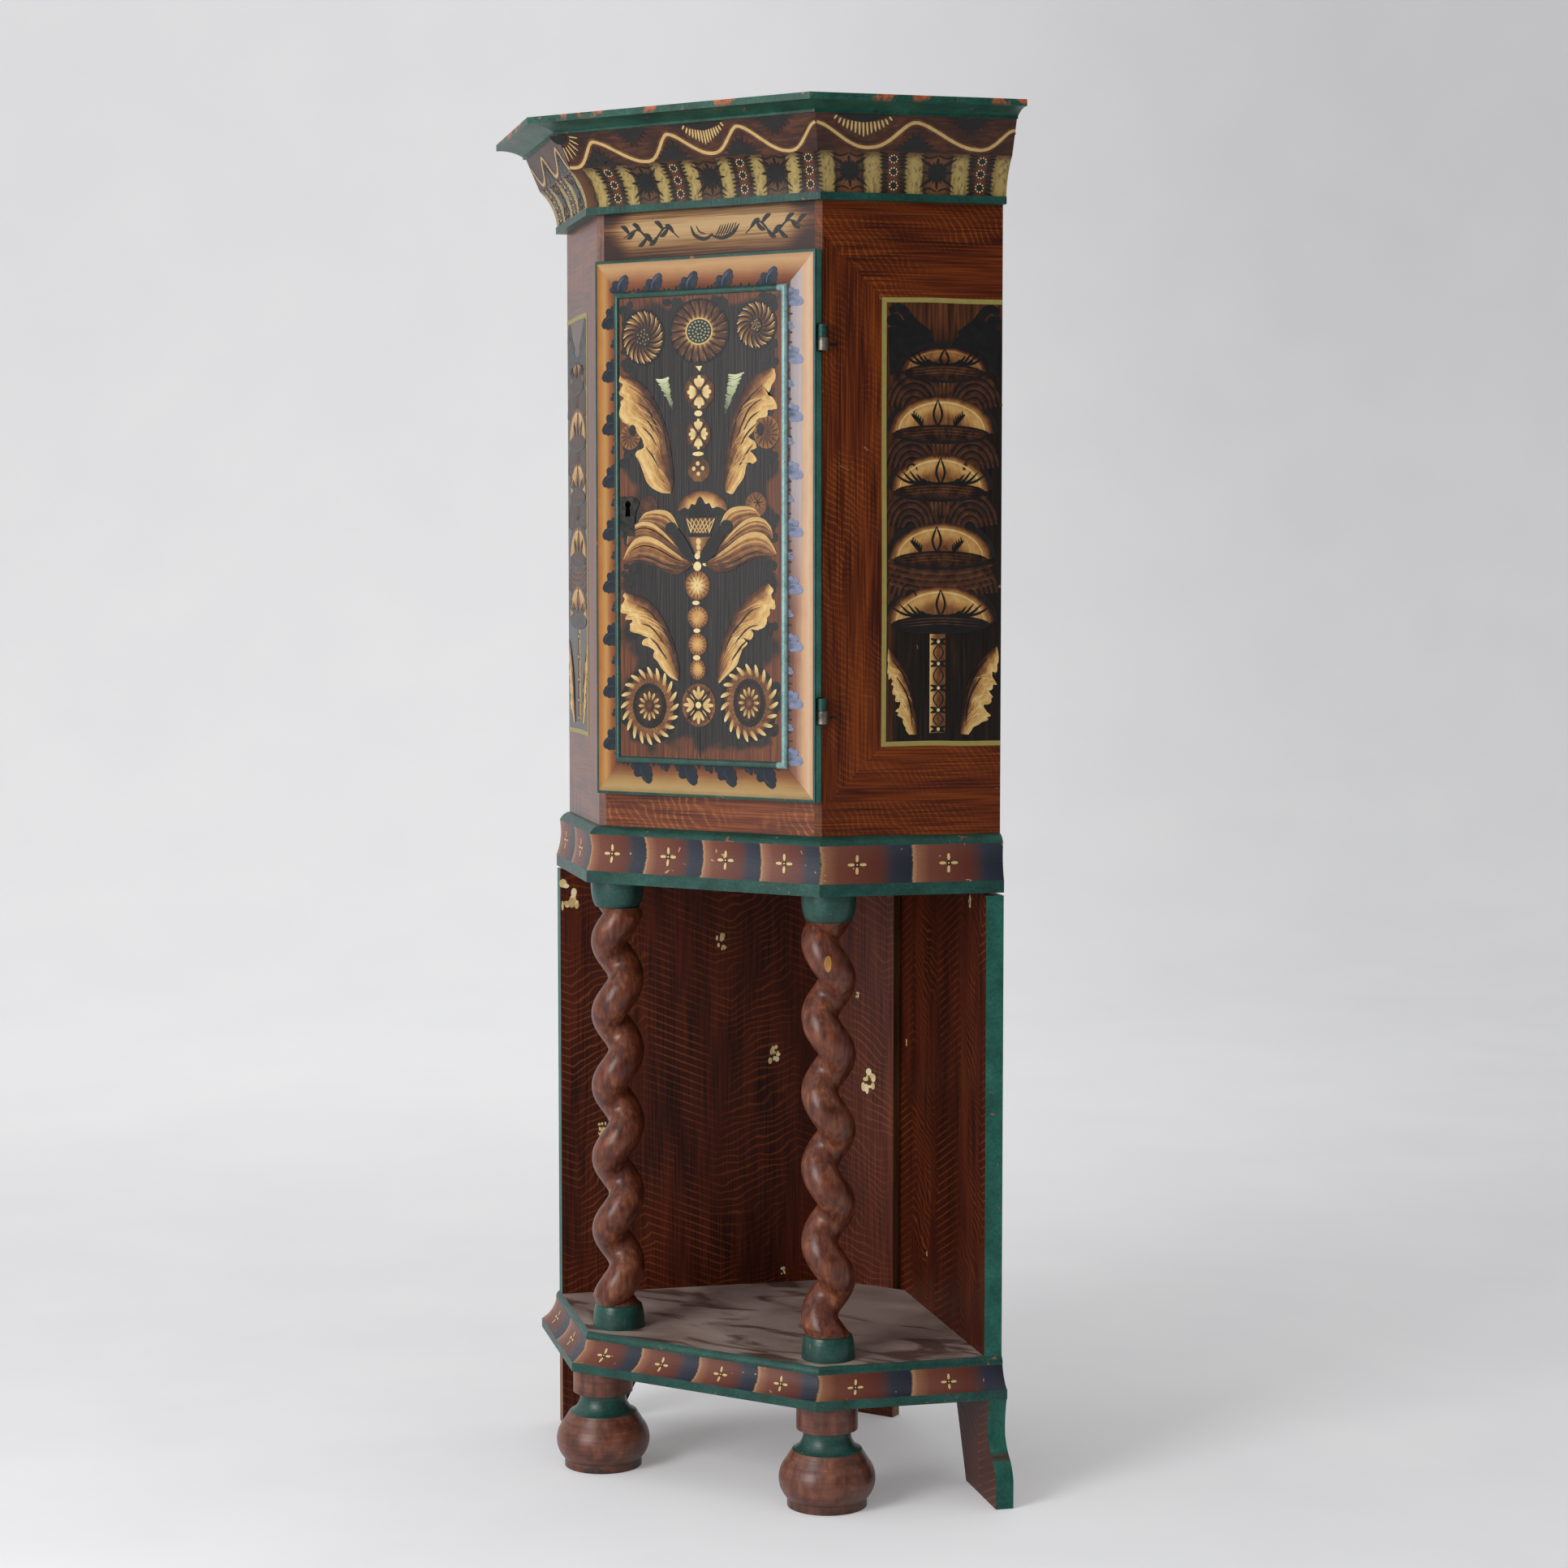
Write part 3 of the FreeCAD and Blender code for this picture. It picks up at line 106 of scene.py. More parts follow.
def set_range(node, low, high, first, last):
    """Set a map range node to lead from low and high to a first and a last value."""
    for title, value in (("From Min", low), ("From Max", high), ("To Min", first), ("To Max", last)):
        node.inputs[title].default_value = value


class Field:
    """One number for each point of a surface, with ordinary arithmetic."""

    def __init__(self, tree, socket):
        self.tree = tree
        self.socket = socket

    def math(self, operation, *others):
        node = self.tree.nodes.new("ShaderNodeMath")
        node.operation = operation
        for socket, value in zip(node.inputs, (self, *others)):
            plug(self.tree, value, socket)
        return Field(self.tree, node.outputs[0])

    def __add__(self, other):
        return self.math("ADD", other)

    def __sub__(self, other):
        return self.math("SUBTRACT", other)

    def __mul__(self, other):
        return self.math("MULTIPLY", other)

    def __truediv__(self, other):
        return self.math("DIVIDE", other)

    def __rsub__(self, other):
        return self * -1.0 + other

    def least(self, other):
        return self.math("MINIMUM", other)

    def most(self, other):
        return self.math("MAXIMUM", other)

    def fraction(self):
        return self.math("FRACT")

    def size(self):
        return self.math("ABSOLUTE")

    def sine(self):
        return self.math("SINE")

    def smooth(self, low, high):
        """A soft step from 0 at low to 1 at high."""
        node = self.tree.nodes.new("ShaderNodeMapRange")
        node.interpolation_type = "SMOOTHSTEP"
        if low <= high:
            ends = (0.0, 1.0)
        else:
            low, high, ends = high, low, (1.0, 0.0)
        plug(self.tree, self, node.inputs["Value"])
        set_range(node, low, high, *ends)
        return Field(self.tree, node.outputs["Result"])

    def over(self, level, soft):
        """1 above a level and 0 below it, with a soft edge to both sides."""
        return self.smooth(level - soft, level + soft)

    def under(self, level, soft):
        """1 below a level and 0 above it, with a soft edge to both sides."""
        return self.smooth(level + soft, level - soft)


class Paint:
    """A material under construction, with the object's own coordinates as fields."""

    def __init__(self, name):
        self.material = bpy.data.materials.new(name)
        self.material.use_nodes = True
        self.tree = self.material.node_tree
        self.shader = self.tree.nodes["Principled BSDF"]
        coordinates = self.tree.nodes.new("ShaderNodeTexCoord")
        self.position = coordinates.outputs["Object"]
        self.normal = coordinates.outputs["Normal"]
        split = self.tree.nodes.new("ShaderNodeSeparateXYZ")
        self.tree.links.new(self.position, split.inputs[0])
        self.x, self.y, self.z = [Field(self.tree, socket) for socket in split.outputs]

    def dot(self, socket, direction):
        """How far a vector reaches in a direction."""
        node = self.tree.nodes.new("ShaderNodeVectorMath")
        node.operation = "DOT_PRODUCT"
        self.tree.links.new(socket, node.inputs[0])
        node.inputs[1].default_value = direction
        return Field(self.tree, node.outputs["Value"])

    def along(self, direction, origin=(0.0, 0.0, 0.0)):
        """Distance from an origin in a direction."""
        return self.dot(self.position, direction) - Vector(direction).dot(Vector(origin))

    def facing(self, direction):
        """1 where the surface faces that way, measured on the object itself."""
        return self.dot(self.normal, direction).smooth(0.55, 0.75)

    def noise(self, scale, stretch=(1.0, 1.0, 1.0), detail=3.0, warp=0.0, axes=None):
        """Cloudy noise, stretched along the object's axes or along three given ones."""
        combine = self.tree.nodes.new("ShaderNodeCombineXYZ")
        for socket, field, factor in zip(combine.inputs, axes or (self.x, self.y, self.z), stretch):
            plug(self.tree, field * factor, socket)
        node = self.tree.nodes.new("ShaderNodeTexNoise")
        self.tree.links.new(combine.outputs[0], node.inputs["Vector"])
        node.inputs["Scale"].default_value = scale
        node.inputs["Detail"].default_value = detail
        node.inputs["Distortion"].default_value = warp
        return Field(self.tree, node.outputs[0])

    def ramp(self, field, stops):
        """A colour that runs through the given (place, colour code) stops."""
        node = self.tree.nodes.new("ShaderNodeValToRGB")
        elements = node.color_ramp.elements
        while len(elements) < len(stops):
            elements.new(0.5)
        for element, (place, code) in zip(elements, stops):
            element.position = place
            element.color = rgb(code)
        plug(self.tree, field, node.inputs[0])
        return node.outputs["Color"]

    def mix(self, factor, first, second):
        """A blend of two colours, each a code or a node's output."""
        node = self.tree.nodes.new("ShaderNodeMix")
        node.data_type = "RGBA"
        node.clamp_factor = True
        plug(self.tree, factor, node.inputs[0])
        for socket, value in ((node.inputs[6], first), (node.inputs[7], second)):
            plug(self.tree, rgb(value) if isinstance(value, str) else value, socket)
        return node.outputs[2]

    def attribute(self, name):
        """A value that the mesh carries at its points."""
        node = self.tree.nodes.new("ShaderNodeAttribute")
        node.attribute_name = name
        return Field(self.tree, node.outputs["Fac"])

    def finish(self, colour, roughness, bump=None, depth=0.4 * MM, shine=0.3):
        """The finished material; the bump is a relief of that depth."""
        plug(self.tree, colour, self.shader.inputs["Base Color"])
        plug(self.tree, roughness, self.shader.inputs["Roughness"])
        self.shader.inputs["Specular IOR Level"].default_value = shine
        if bump is not None:
            node = self.tree.nodes.new("ShaderNodeBump")
            node.inputs["Strength"].default_value = 1.0
            node.inputs["Distance"].default_value = depth
            plug(self.tree, bump, node.inputs["Height"])
            self.tree.links.new(node.outputs[0], self.shader.inputs["Normal"])
        return self.material

    def brushed(self, colour, streak, gloss, shine=0.3):
        """A brushed finish, whose roughness and relief follow its streaks."""
        return self.finish(colour, streak * 0.2 + gloss, streak, 0.3 * MM, shine)


def dress(material, *nodes):
    """Give CAD nodes a material."""
    for name in nodes:
        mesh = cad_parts[name].data
        mesh.materials.clear()
        mesh.materials.append(material)


# Bare and grained wood
PINE_GRAIN = (160.0, 7.0, 160.0)


def pine(paint, axes):
    """Old bare softwood, with the grain along the second axis."""
    grain = paint.noise(1.0, PINE_GRAIN, 4.0, 0.4, axes)
    rings = paint.noise(1.0, (40.0, 1.5, 40.0), 2.0, 1.5, axes)
    dirt = paint.noise(6.0, detail=5.0)
    colour = paint.ramp(grain * 0.6 + rings * 0.4, [(0.3, "5d4630"), (0.5, "8a6b48"), (0.7, "a98a60")])
    return paint.mix(dirt.smooth(0.45, 0.75) * 0.55, colour, "4a3a2c")


def bare_board(name, axes_of):
    """A bare softwood material, with the axes that axes_of picks."""
    paint = Paint(name)
    axes = axes_of(paint)
    grain = paint.noise(1.0, PINE_GRAIN, 4.0, 0.4, axes)
    return paint.finish(pine(paint, axes), grain * 0.2 + 0.6, grain, 0.5 * MM)


def faced(paint, direction, colour, axes):
    """Painted where the board faces one way, and bare wood elsewhere."""
    return paint.mix(paint.facing(direction), pine(paint, axes), colour)


def graining(paint, across, along, tones, slant, spacing, strength, seed=0.0, fold=None):
    """Brushed red-brown graining: fine streaks along the grain, and pale flecks across it.

    With a fold, the flecks join into long lines that run in chevrons of that width.
    """
    axes = (across, along, seed)
    streak = paint.noise(1.0, (420.0, 9.0, 1.0), 3.0, 0.3, axes)
    broad = paint.noise(1.0, (26.0, 3.0, 1.0), 3.0, 0.6, axes)
    patch = paint.noise(1.0, (16.0, 6.0, 1.0), 2.0, 0.5, axes)
    if fold:
        sway = paint.noise(1.0, (7.0, 9.0, 1.0), 3.0, 0.0, axes)
        lean = ((across / fold + sway * 0.5).fraction() - 0.5).size() * (2 * fold)
        shown = patch.smooth(0.3, 0.66) * streak.smooth(0.1, 0.5)
        line = 0.5
    else:
        sway = paint.noise(1.0, (22.0, 14.0, 1.0), 2.0, 0.0, axes)
        lean = across
        shown = patch.smooth(0.4, 0.7) * streak.smooth(0.3, 0.65)
        line = 0.2
    phase = (along + lean * slant + sway * (spacing * 4.0)) * (2 * math.pi / spacing)
    fleck = phase.sine().smooth(line, 1.0) * shown
    base = paint.ramp(streak * 0.55 + broad * 0.45, [(0.37, tones[0]), (0.5, tones[1]), (0.63, tones[2])])
    return paint.mix(fleck * strength, base, tones[3]), streak


def specks(paint, colour, scale, low, code, amount):
    """Small chips of another colour."""
    spot = paint.noise(scale, detail=2.0, warp=0.8)
    return paint.mix(spot.smooth(low, low + 0.03) * amount, colour, code)


PANEL_TONES = ("300e06", "59240b", "78370f", "a55e1f")
RAIL_TONES = ("431a0c", "6a3018", "85471f", "b0703a")
NICHE_TONES = ("220904", "41180b", "572212", "8c471b")
POST_TONES = ("310f07", "522113", "68311b", "8d4e28")
GREEN_TONES = ("14362f", "1a453c", "27574c")
# A lighter copy of the green for the door board's edges: painted light, as the right-facing edge is lit more
LIT_EDGE_GREEN_TONES = ("357468", "438a7c", "599f90")
WALL_GREEN_TONES = ("1c4c42", "245c50", "326f62")
# A paler copy of the green: painted sheen on the bead's right side
BEAD_SHEEN_TONES = ("6f9692", "8fb3b0", "adcbc8")


def green(paint, tones=GREEN_TONES):
    """Blue-green oil paint, rubbed and a little chalky."""
    brush = paint.noise(30.0, detail=5.0)
    fine = paint.noise(240.0, detail=3.0)
    colour = paint.ramp(brush * 0.6 + fine * 0.4, [(0.36, tones[0]), (0.52, tones[1]), (0.72, tones[2])])
    return specks(paint, colour, 75.0, 0.71, "8f5a38", 0.8)


def hinge_material():
    """Iron leaves painted over with the green."""
    paint = Paint("hinge_green")
    fine = paint.noise(240.0, detail=3.0)
    return paint.finish(green(paint), fine * 0.3 + 0.28, fine, 0.25 * MM)


# Camera, lamp and stage
CAMERA_PLACE = (2.3497, -3.8177, 1.2891)
CAMERA_PITCH = math.radians(90 - 4.015)
CAMERA_TURN = math.radians(31.549)
CAMERA_LENS = 71.95
SENSOR_WIDTH = 36.0
LAMP_PLACE = Vector((-0.7, -3.6, 1.9))
LAMP_TARGET = Vector((0.0, 0.0, 1.05))
LAMP_WIDTH, LAMP_HEIGHT, LAMP_POWER = 1.5, 2.4, 95
WHITE = (1.0, 1.0, 1.0, 1.0)
# The backdrop's bend, its distance, its height, and its reach to the front and to each side
BEND, BACK, BACKDROP_HEIGHT, REACH = 2.6, 7.0, 9.9, 9.0
BEND_STEPS = 12
UNDER_FEET = 0.5 * MM
# The way to the brightest part of the surroundings, and their levels from dark to bright
BRIGHT_SIDE = Vector((-0.62, 0.3, 0.72)).normalized()
DARK_LEVEL, BRIGHT_LEVEL = 0.04, 0.85


def add_to_scene(name, data):
    """A new object in the scene."""
    thing = bpy.data.objects.new(name, data)
    bpy.context.scene.collection.objects.link(thing)
    return thing


def make_camera():
    data = bpy.data.cameras.new("camera")
    data.sensor_width = SENSOR_WIDTH
    data.lens = CAMERA_LENS
    camera = add_to_scene("camera", data)
    camera.location = CAMERA_PLACE
    camera.rotation_euler = (CAMERA_PITCH, 0.0, CAMERA_TURN)
    bpy.context.scene.camera = camera


def make_lamp():
    data = bpy.data.lights.new("key", "AREA")
    data.shape = "RECTANGLE"
    data.size = LAMP_WIDTH
    data.size_y = LAMP_HEIGHT
    data.energy = LAMP_POWER
    lamp = add_to_scene("key", data)
    lamp.location = LAMP_PLACE
    lamp.rotation_euler = (LAMP_TARGET - LAMP_PLACE).to_track_quat("-Z", "Y").to_euler()


def backdrop_material(forward, across):
    """Pale paper that the camera and mirrors see a little brighter, most of all far back on the left."""
    paint = Paint("backdrop_paper")
    cloud = paint.noise(3.0, detail=4.0)
    rays = paint.tree.nodes.new("ShaderNodeLightPath")
    direct, glossy, through = [Field(paint.tree, rays.outputs[title])
                               for title in ("Is Camera Ray", "Is Glossy Ray", "Is Transmission Ray")]
    away = paint.along(forward).smooth(0.0, 4.0)
    left = paint.along(across).smooth(2.2, -0.9)
    level = away * (left * 0.17 + 0.06) + 0.17
    paint.shader.inputs["Emission Color"].default_value = WHITE
    glow = direct.most(glossy).most(through) * level
    plug(paint.tree, glow, paint.shader.inputs["Emission Strength"])
    return paint.finish(paint.ramp(cloud, [(0.3, "dddde0"), (0.7, "e3e3e5")]), 0.75)


def make_stage():
    """A pale floor that sweeps up into a backdrop behind the cabinet."""
    profile = [(-REACH, 0.0), (BACK - BEND, 0.0)]
    for step in range(1, BEND_STEPS + 1):
        angle = math.pi / 2 * step / BEND_STEPS
        profile.append((BACK - BEND + BEND * math.sin(angle), BEND - BEND * math.cos(angle)))
    profile.append((BACK, BACKDROP_HEIGHT))
    forward = Vector((-math.sin(CAMERA_TURN), math.cos(CAMERA_TURN), 0.0))
    across = Vector((math.cos(CAMERA_TURN), math.sin(CAMERA_TURN), 0.0))
    vertices = [forward * run + across * side * REACH + UP * (rise - UNDER_FEET)
                for side in BOTH for run, rise in profile]
    count = len(profile)
    faces = [(index, index + count, index + count + 1, index + 1) for index in range(count - 1)]
    mesh = bpy.data.meshes.new("backdrop")
    mesh.from_pydata(vertices, [], faces)
    mesh.polygons.foreach_set("use_smooth", [True] * len(faces))
    mesh.materials.append(backdrop_material(forward, across))
    floor = add_to_scene("backdrop", mesh)


def make_world():
    """White from above on the left and behind, and dark towards the front right."""
    world = bpy.data.worlds.new("studio")
    world.use_nodes = True
    tree = world.node_tree
    background = tree.nodes["Background"]
    background.inputs["Color"].default_value = WHITE
    coordinates = tree.nodes.new("ShaderNodeTexCoord")
    toward = tree.nodes.new("ShaderNodeVectorMath")
    toward.operation = "DOT_PRODUCT"
    toward.inputs[1].default_value = BRIGHT_SIDE
    tree.links.new(coordinates.outputs["Generated"], toward.inputs[0])
    level = tree.nodes.new("ShaderNodeMapRange")
    set_range(level, -0.7, 0.9, DARK_LEVEL, BRIGHT_LEVEL)
    tree.links.new(toward.outputs["Value"], level.inputs["Value"])
    tree.links.new(level.outputs["Result"], background.inputs["Strength"])
    bpy.context.scene.world = world


make_camera()
make_stage()
make_world()
make_lamp()
bpy.context.scene.view_settings.view_transform = "Standard"


# Materials of the cupboard
PANEL_LINE = 86 * MM
PANEL_TOP = 1.643
PANEL_BOTTOM = 1.045
PANEL_ROUGHNESS = {LEFT: 0.24, RIGHT: 0.3}
PANEL_SHINE = {LEFT: 1.0, RIGHT: 0.2}
PANEL_SLANT = 0.6
# Spacing and strength of the flecks
PANEL_FLECKS = (9 * MM, 0.42)
# The black ground turns brown above a level, and near the front line
BROWN_LEVEL, BROWN_EDGE = 1.595, 100 * MM
# Width over which a painted line's edge fades
SOFT = 0.4 * MM


def panel_material(side):
    """A canted side: grained like a mitred frame round a dark painted panel."""
    paint = Paint(f"panel_{SIDE_WORDS[side]}")
    along = paint.along(ACROSS[side], CORNER[side])
    inward = along * side
    over = (paint.z - PANEL_TOP).most(PANEL_BOTTOM - paint.z)
    beyond = (over + inward - PANEL_LINE).smooth(0.0, SOFT)
    stile, streak = graining(paint, along, paint.z, PANEL_TONES, PANEL_SLANT * side, *PANEL_FLECKS)
    rail, rail_streak = graining(paint, paint.z, along, PANEL_TONES, PANEL_SLANT, *PANEL_FLECKS, seed=4.0)
    colour = paint.mix(beyond, stile, rail)
    fibre = paint.noise(1.0, (240.0, 10.0, 1.0), 4.0, 0.5, (along, paint.z, 0.0))
    black = paint.ramp(fibre, [(0.3, "120f0d"), (0.55, "1f1814"), (0.8, "35241b")])
    brown = paint.ramp(fibre, [(0.3, "2a170f"), (0.5, "4a2a1a"), (0.75, "6b3e24")])
    bare = paint.z.over(BROWN_LEVEL, 25 * MM).most(inward.under(BROWN_EDGE, 6 * MM) * 0.7)
    ground = paint.mix(bare, black, brown)
    inside = (inward - PANEL_LINE).smooth(0.0, SOFT) * over.smooth(0.0, -SOFT)
    colour = paint.mix(inside, colour, ground)
    colour = specks(paint, colour, 60.0, 0.735, "8a6a50", 0.6)
    colour = faced(paint, OUT[side], colour, (along, paint.z, paint.y))
    relief = streak * 0.5 + rail_streak * 0.5
    return paint.finish(colour, streak * 0.2 + PANEL_ROUGHNESS[side], relief, 0.3 * MM, PANEL_SHINE[side])


for which in BOTH:
    dress(panel_material(which), f"side_panel_{SIDE_WORDS[which]}")


def bottom_rail_material():
    """Level graining on the front, bare wood elsewhere."""
    paint = Paint("bottom_rail_graining")
    colour, streak = graining(paint, paint.z, paint.x, RAIL_TONES, 0.5, 14 * MM, 0.7)
    colour = faced(paint, OUT[FRONT], colour, (paint.z, paint.x, paint.y))
    return paint.brushed(colour, streak, 0.28)


# Brightest height of the golden rail, its fading above and below that, and half the band's length
RAIL_BRIGHT_LINE = 1.7525
RAIL_ABOVE, RAIL_BELOW, RAIL_HALF = 26 * MM, 44 * MM, 165 * MM


def top_rail_material():
    """A brushed golden band, brightest above its middle, that fades to dark brown at its edges."""
    paint = Paint("top_rail_gold")
    streak = paint.noise(1.0, (500.0, 7.0, 1.0), 4.0, 0.3, (paint.z, paint.x, 0.0))
    above = (paint.z - RAIL_BRIGHT_LINE) / RAIL_ABOVE
    below = (RAIL_BRIGHT_LINE - paint.z) / RAIL_BELOW
    ends = (paint.x.size() / RAIL_HALF).smooth(0.72, 1.05)
    light = (1.1 - above.most(below) + (streak - 0.5) * 1.3) - ends * 0.8
    colour = paint.ramp(light, [(0.0, "2e160d"), (0.3, "5c361d"), (0.6, "8a643c"), (0.95, "b39264")])
    colour = faced(paint, OUT[FRONT], colour, (paint.z, paint.x, paint.y))
    return paint.brushed(colour, streak, 0.32)


dress(bottom_rail_material(), "bottom_rail")
dress(top_rail_material(), "top_rail")
dress(bare_board("pine_upright", lambda paint: (paint.x, paint.z, paint.y)),
      "cupboard_wall_left", "cupboard_wall_right", "cupboard_back_post",
      "corner_block_left", "corner_block_right")
dress(bare_board("pine_level", lambda paint: (paint.y, paint.x, paint.z)),
      "base_board", "cupboard_floor", "cupboard_top", "inner_shelf_lower", "inner_shelf_upper",
      "inner_shelf_cleats", "stand_shelf_cleats", "door_batten_lower", "door_batten_upper")


# Materials of the stand
SHELF_BOTTOM = 0.144
# Slant and spacing of the flecks in the niche
NICHE_FLECKS = (-0.2, 12 * MM)
# Heights between which a column is red-brown, and between which a foot is green
COLUMN_FOOT, COLUMN_HEAD = 0.2315, 0.8025
FOOT_NECK = (0.078, 0.1055)


def stand_wall_material(side):
    """Grained inside, green on the front edge and bare outside; the left front edge is bare at its foot."""
    paint = Paint(f"stand_wall_{SIDE_WORDS[side]}")
    along_wall = Vector((side * COS45, -COS45, 0.0))
    outward = Vector((side * COS45, COS45, 0.0))
    reach = paint.along(along_wall, (0.0, CORNER_Y, 0.0))
    colour, streak = graining(paint, reach, paint.z, NICHE_TONES, *NICHE_FLECKS, 0.48,
                              seed=side * 3.0, fold=230 * MM)
    edge = green(paint, WALL_GREEN_TONES)
    if side == LEFT:
        foot = paint.ramp(streak, [(0.3, "6b3d1e"), (0.6, "94602f"), (0.8, "b07d45")])
        edge = paint.mix(paint.z.smooth(SHELF_BOTTOM + 1 * MM, SHELF_BOTTOM - 4 * MM), edge, foot)
    colour = paint.mix(paint.facing(along_wall), colour, edge)
    wood = pine(paint, (reach, paint.z, paint.y))
    colour = paint.mix(paint.facing(outward), colour, wood)
    return paint.brushed(colour, streak, 0.34, 0.2)


for which in BOTH:
    dress(stand_wall_material(which), f"stand_wall_{SIDE_WORDS[which]}")


def post_material():
    """The plank at the back of the niche, grained on its front."""
    paint = Paint("post_graining")
    colour, streak = graining(paint, paint.x, paint.z, POST_TONES, *NICHE_FLECKS, 0.45,
                              seed=7.0, fold=180 * MM)
    colour = faced(paint, OUT[FRONT], colour, (paint.x, paint.z, paint.y))
    return paint.brushed(colour, streak, 0.34, 0.2)


def shelf_material():
    """Brown paint under grey dust, with darker rubbed smears."""
    paint = Paint("dusty_shelf")
    dust = paint.noise(9.0, detail=6.0, warp=0.4)
    smear = paint.noise(1.0, (6.0, 15.0, 1.0), 4.0, 1.2)
    grit = paint.noise(420.0, detail=2.0)
    colour = paint.ramp(dust * 0.8 + grit * 0.2, [(0.3, "76625a"), (0.5, "937e76"), (0.7, "ab9990")])
    colour = paint.mix(smear.smooth(0.5, 0.64) * 0.75, colour, "42261c")
    return paint.finish(colour, smear.smooth(0.6, 0.52) * 0.3 + 0.42, grit, 0.2 * MM)


dress(post_material(), "stand_back_post")
dress(shelf_material(), "stand_shelf")

# A bare spot on the right column, with its half width and half height
COLUMN_CHIP = Vector((0.193, -0.187, 0.748))
CHIP_WIDTH, CHIP_HEIGHT = 4.5 * MM, 11 * MM


def column_material(side):
    """Glossy red-brown twist with fine grain and a few rubbed places, with green ends."""
    paint = Paint(f"column_{SIDE_WORDS[side]}")
    rub = paint.noise(46.0, detail=5.0, warp=0.3)
    grain = paint.noise(1.0, (170.0, 170.0, 30.0), 4.0, 0.4)
    colour = paint.ramp(grain * 0.55 + rub * 0.45,
                        [(0.3, "331309"), (0.46, "57291a"), (0.58, "713d27"), (0.72, "955c3b")])
    colour = paint.mix(rub.smooth(0.66, 0.76) * 0.4, colour, "965a30")
    if side == RIGHT:
        along = (paint.x - COLUMN_CHIP.x) / CHIP_WIDTH
        rise = (paint.z - COLUMN_CHIP.z) / CHIP_HEIGHT
        bare = (along * along + rise * rise + (grain - 0.5) * 1.5).smooth(1.0, 0.85)
        bare = bare * paint.y.smooth(COLUMN_CHIP.y + 20 * MM, COLUMN_CHIP.y + 15 * MM)
        colour = paint.mix(bare, colour, paint.ramp(grain, [(0.3, "8f6029"), (0.65, "c2914a")]))
    ends = paint.z.over(COLUMN_HEAD, 1 * MM).most(paint.z.under(COLUMN_FOOT, 1 * MM))
    colour = paint.mix(ends, colour, green(paint))
    return paint.finish(colour, grain * 0.2 + 0.24, grain * 0.6 + rub * 0.4, 0.4 * MM, 0.4)


def foot_material():
    """Turned brown foot with a green neck, rubbed through on the belly."""
    paint = Paint("turned_foot")
    rings = paint.noise(1.0, (9.0, 9.0, 420.0), 3.0)
    rub = paint.noise(38.0, detail=6.0, warp=0.5)
    grain = paint.noise(1.0, (110.0, 110.0, 16.0), 4.0, 0.5)
    colour = paint.ramp(rub * 0.5 + grain * 0.3 + rings * 0.2,
                        [(0.34, "331a11"), (0.48, "613425"), (0.6, "7d4c38"), (0.76, "b08468")])
    colour = paint.mix(paint.z.smooth(0.03, 0.0) * rub.smooth(0.4, 0.6), colour, "2a1a12")
    low, high = FOOT_NECK
    neck = paint.z.over(low, 1 * MM) * paint.z.under(high, 1 * MM)
    colour = paint.mix(neck, colour, green(paint))
    return paint.finish(colour, grain * 0.25 + 0.26, grain * 0.5 + rings * 0.5, 0.5 * MM, 0.5)


for which in BOTH:
    dress(column_material(which), f"column_{SIDE_WORDS[which]}")
dress(foot_material(), "foot_left", "foot_right")


# Mouldings: number of blocks on each side
BLOCKS = {LEFT: 2, FRONT: 4, RIGHT: 2}
# Place of the flower on a block, as a share of the block's length
BLOCK_FLOWER = 0.4
# Bottom, fillet, top and bead of each block moulding
BLOCK_HEIGHTS = {"base": (0.841, 0.017, 0.921, 0.012), "shelf": (SHELF_BOTTOM, 0.013, 0.198, 0.011)}


def run_along(paint, side):
    """Share of a moulding's length, from 0 at its left end to 1 at its right end, mitres included."""
    along = paint.along(ACROSS[side], CORNER[side])
    spread = paint.along(OUT[side], CORNER[side]) * MITRE
    if side == FRONT:
        return (along / (spread + FRONT_HALF)) * 0.5 + 0.5
    if side == RIGHT:
        return (along + spread) / (spread + RETURN_LENGTH)
    return (along + RETURN_LENGTH) / (spread + RETURN_LENGTH)


def block_moulding_material(name, side):
    """A band of shaded red blocks between green edges."""
    paint = Paint(f"{name}_blocks_{SIDE_WORDS[side]}")
    bottom, fillet, top, bead = BLOCK_HEIGHTS[name]
    wobble = paint.noise(60.0, detail=3.0)
    level = (paint.z - (bottom + top) / 2) / (top - bottom)
    share = run_along(paint, side) * BLOCKS[side] + (wobble - 0.5) * 0.03 + level * level * 0.16
    streak = paint.noise(1.0, (60.0, 60.0, 420.0), 4.0, 0.3)
    colour = paint.ramp(share.fraction() + (streak - 0.5) * 0.05,
                        [(0.0, "20242f"), (0.02, "a87f5b"), (0.06, "895c43"), (0.2, "6b3b2c"),
                         (0.62, "5a2a1f"), (0.72, "472c2a"), (0.8, "262b38"), (1.0, "20242f")])
    colour = specks(paint, colour, 80.0, 0.72, "c9a27a", 0.7)
    rim = paint.z.under(bottom + fillet, 0.5 * MM).most(paint.z.over(top - bead, 0.5 * MM))
    colour = paint.mix(rim, colour, green(paint))
    return paint.brushed(colour, streak, 0.3)


for which, moulding in itertools.product(SIDES, BLOCK_HEIGHTS):
    dress(block_moulding_material(moulding, which), f"{moulding}_moulding_{SIDE_WORDS[which]}")

# Reach of the cove at its foot and head, its hollow, and the heights of cove and frieze
COVE_FOOT, COVE_HEAD, COVE_HOLLOW = 14.5 * MM, 40 * MM, 5.5 * MM
COVE_BOTTOM, COVE_TOP, FRIEZE_TOP = 1.783, 1.834, 1.880
COVE_MIDDLE, COVE_FADE = 1.8035, 30 * MM
FRIEZE_HEAD = 60 * MM
CROWN_TOP = 1.9
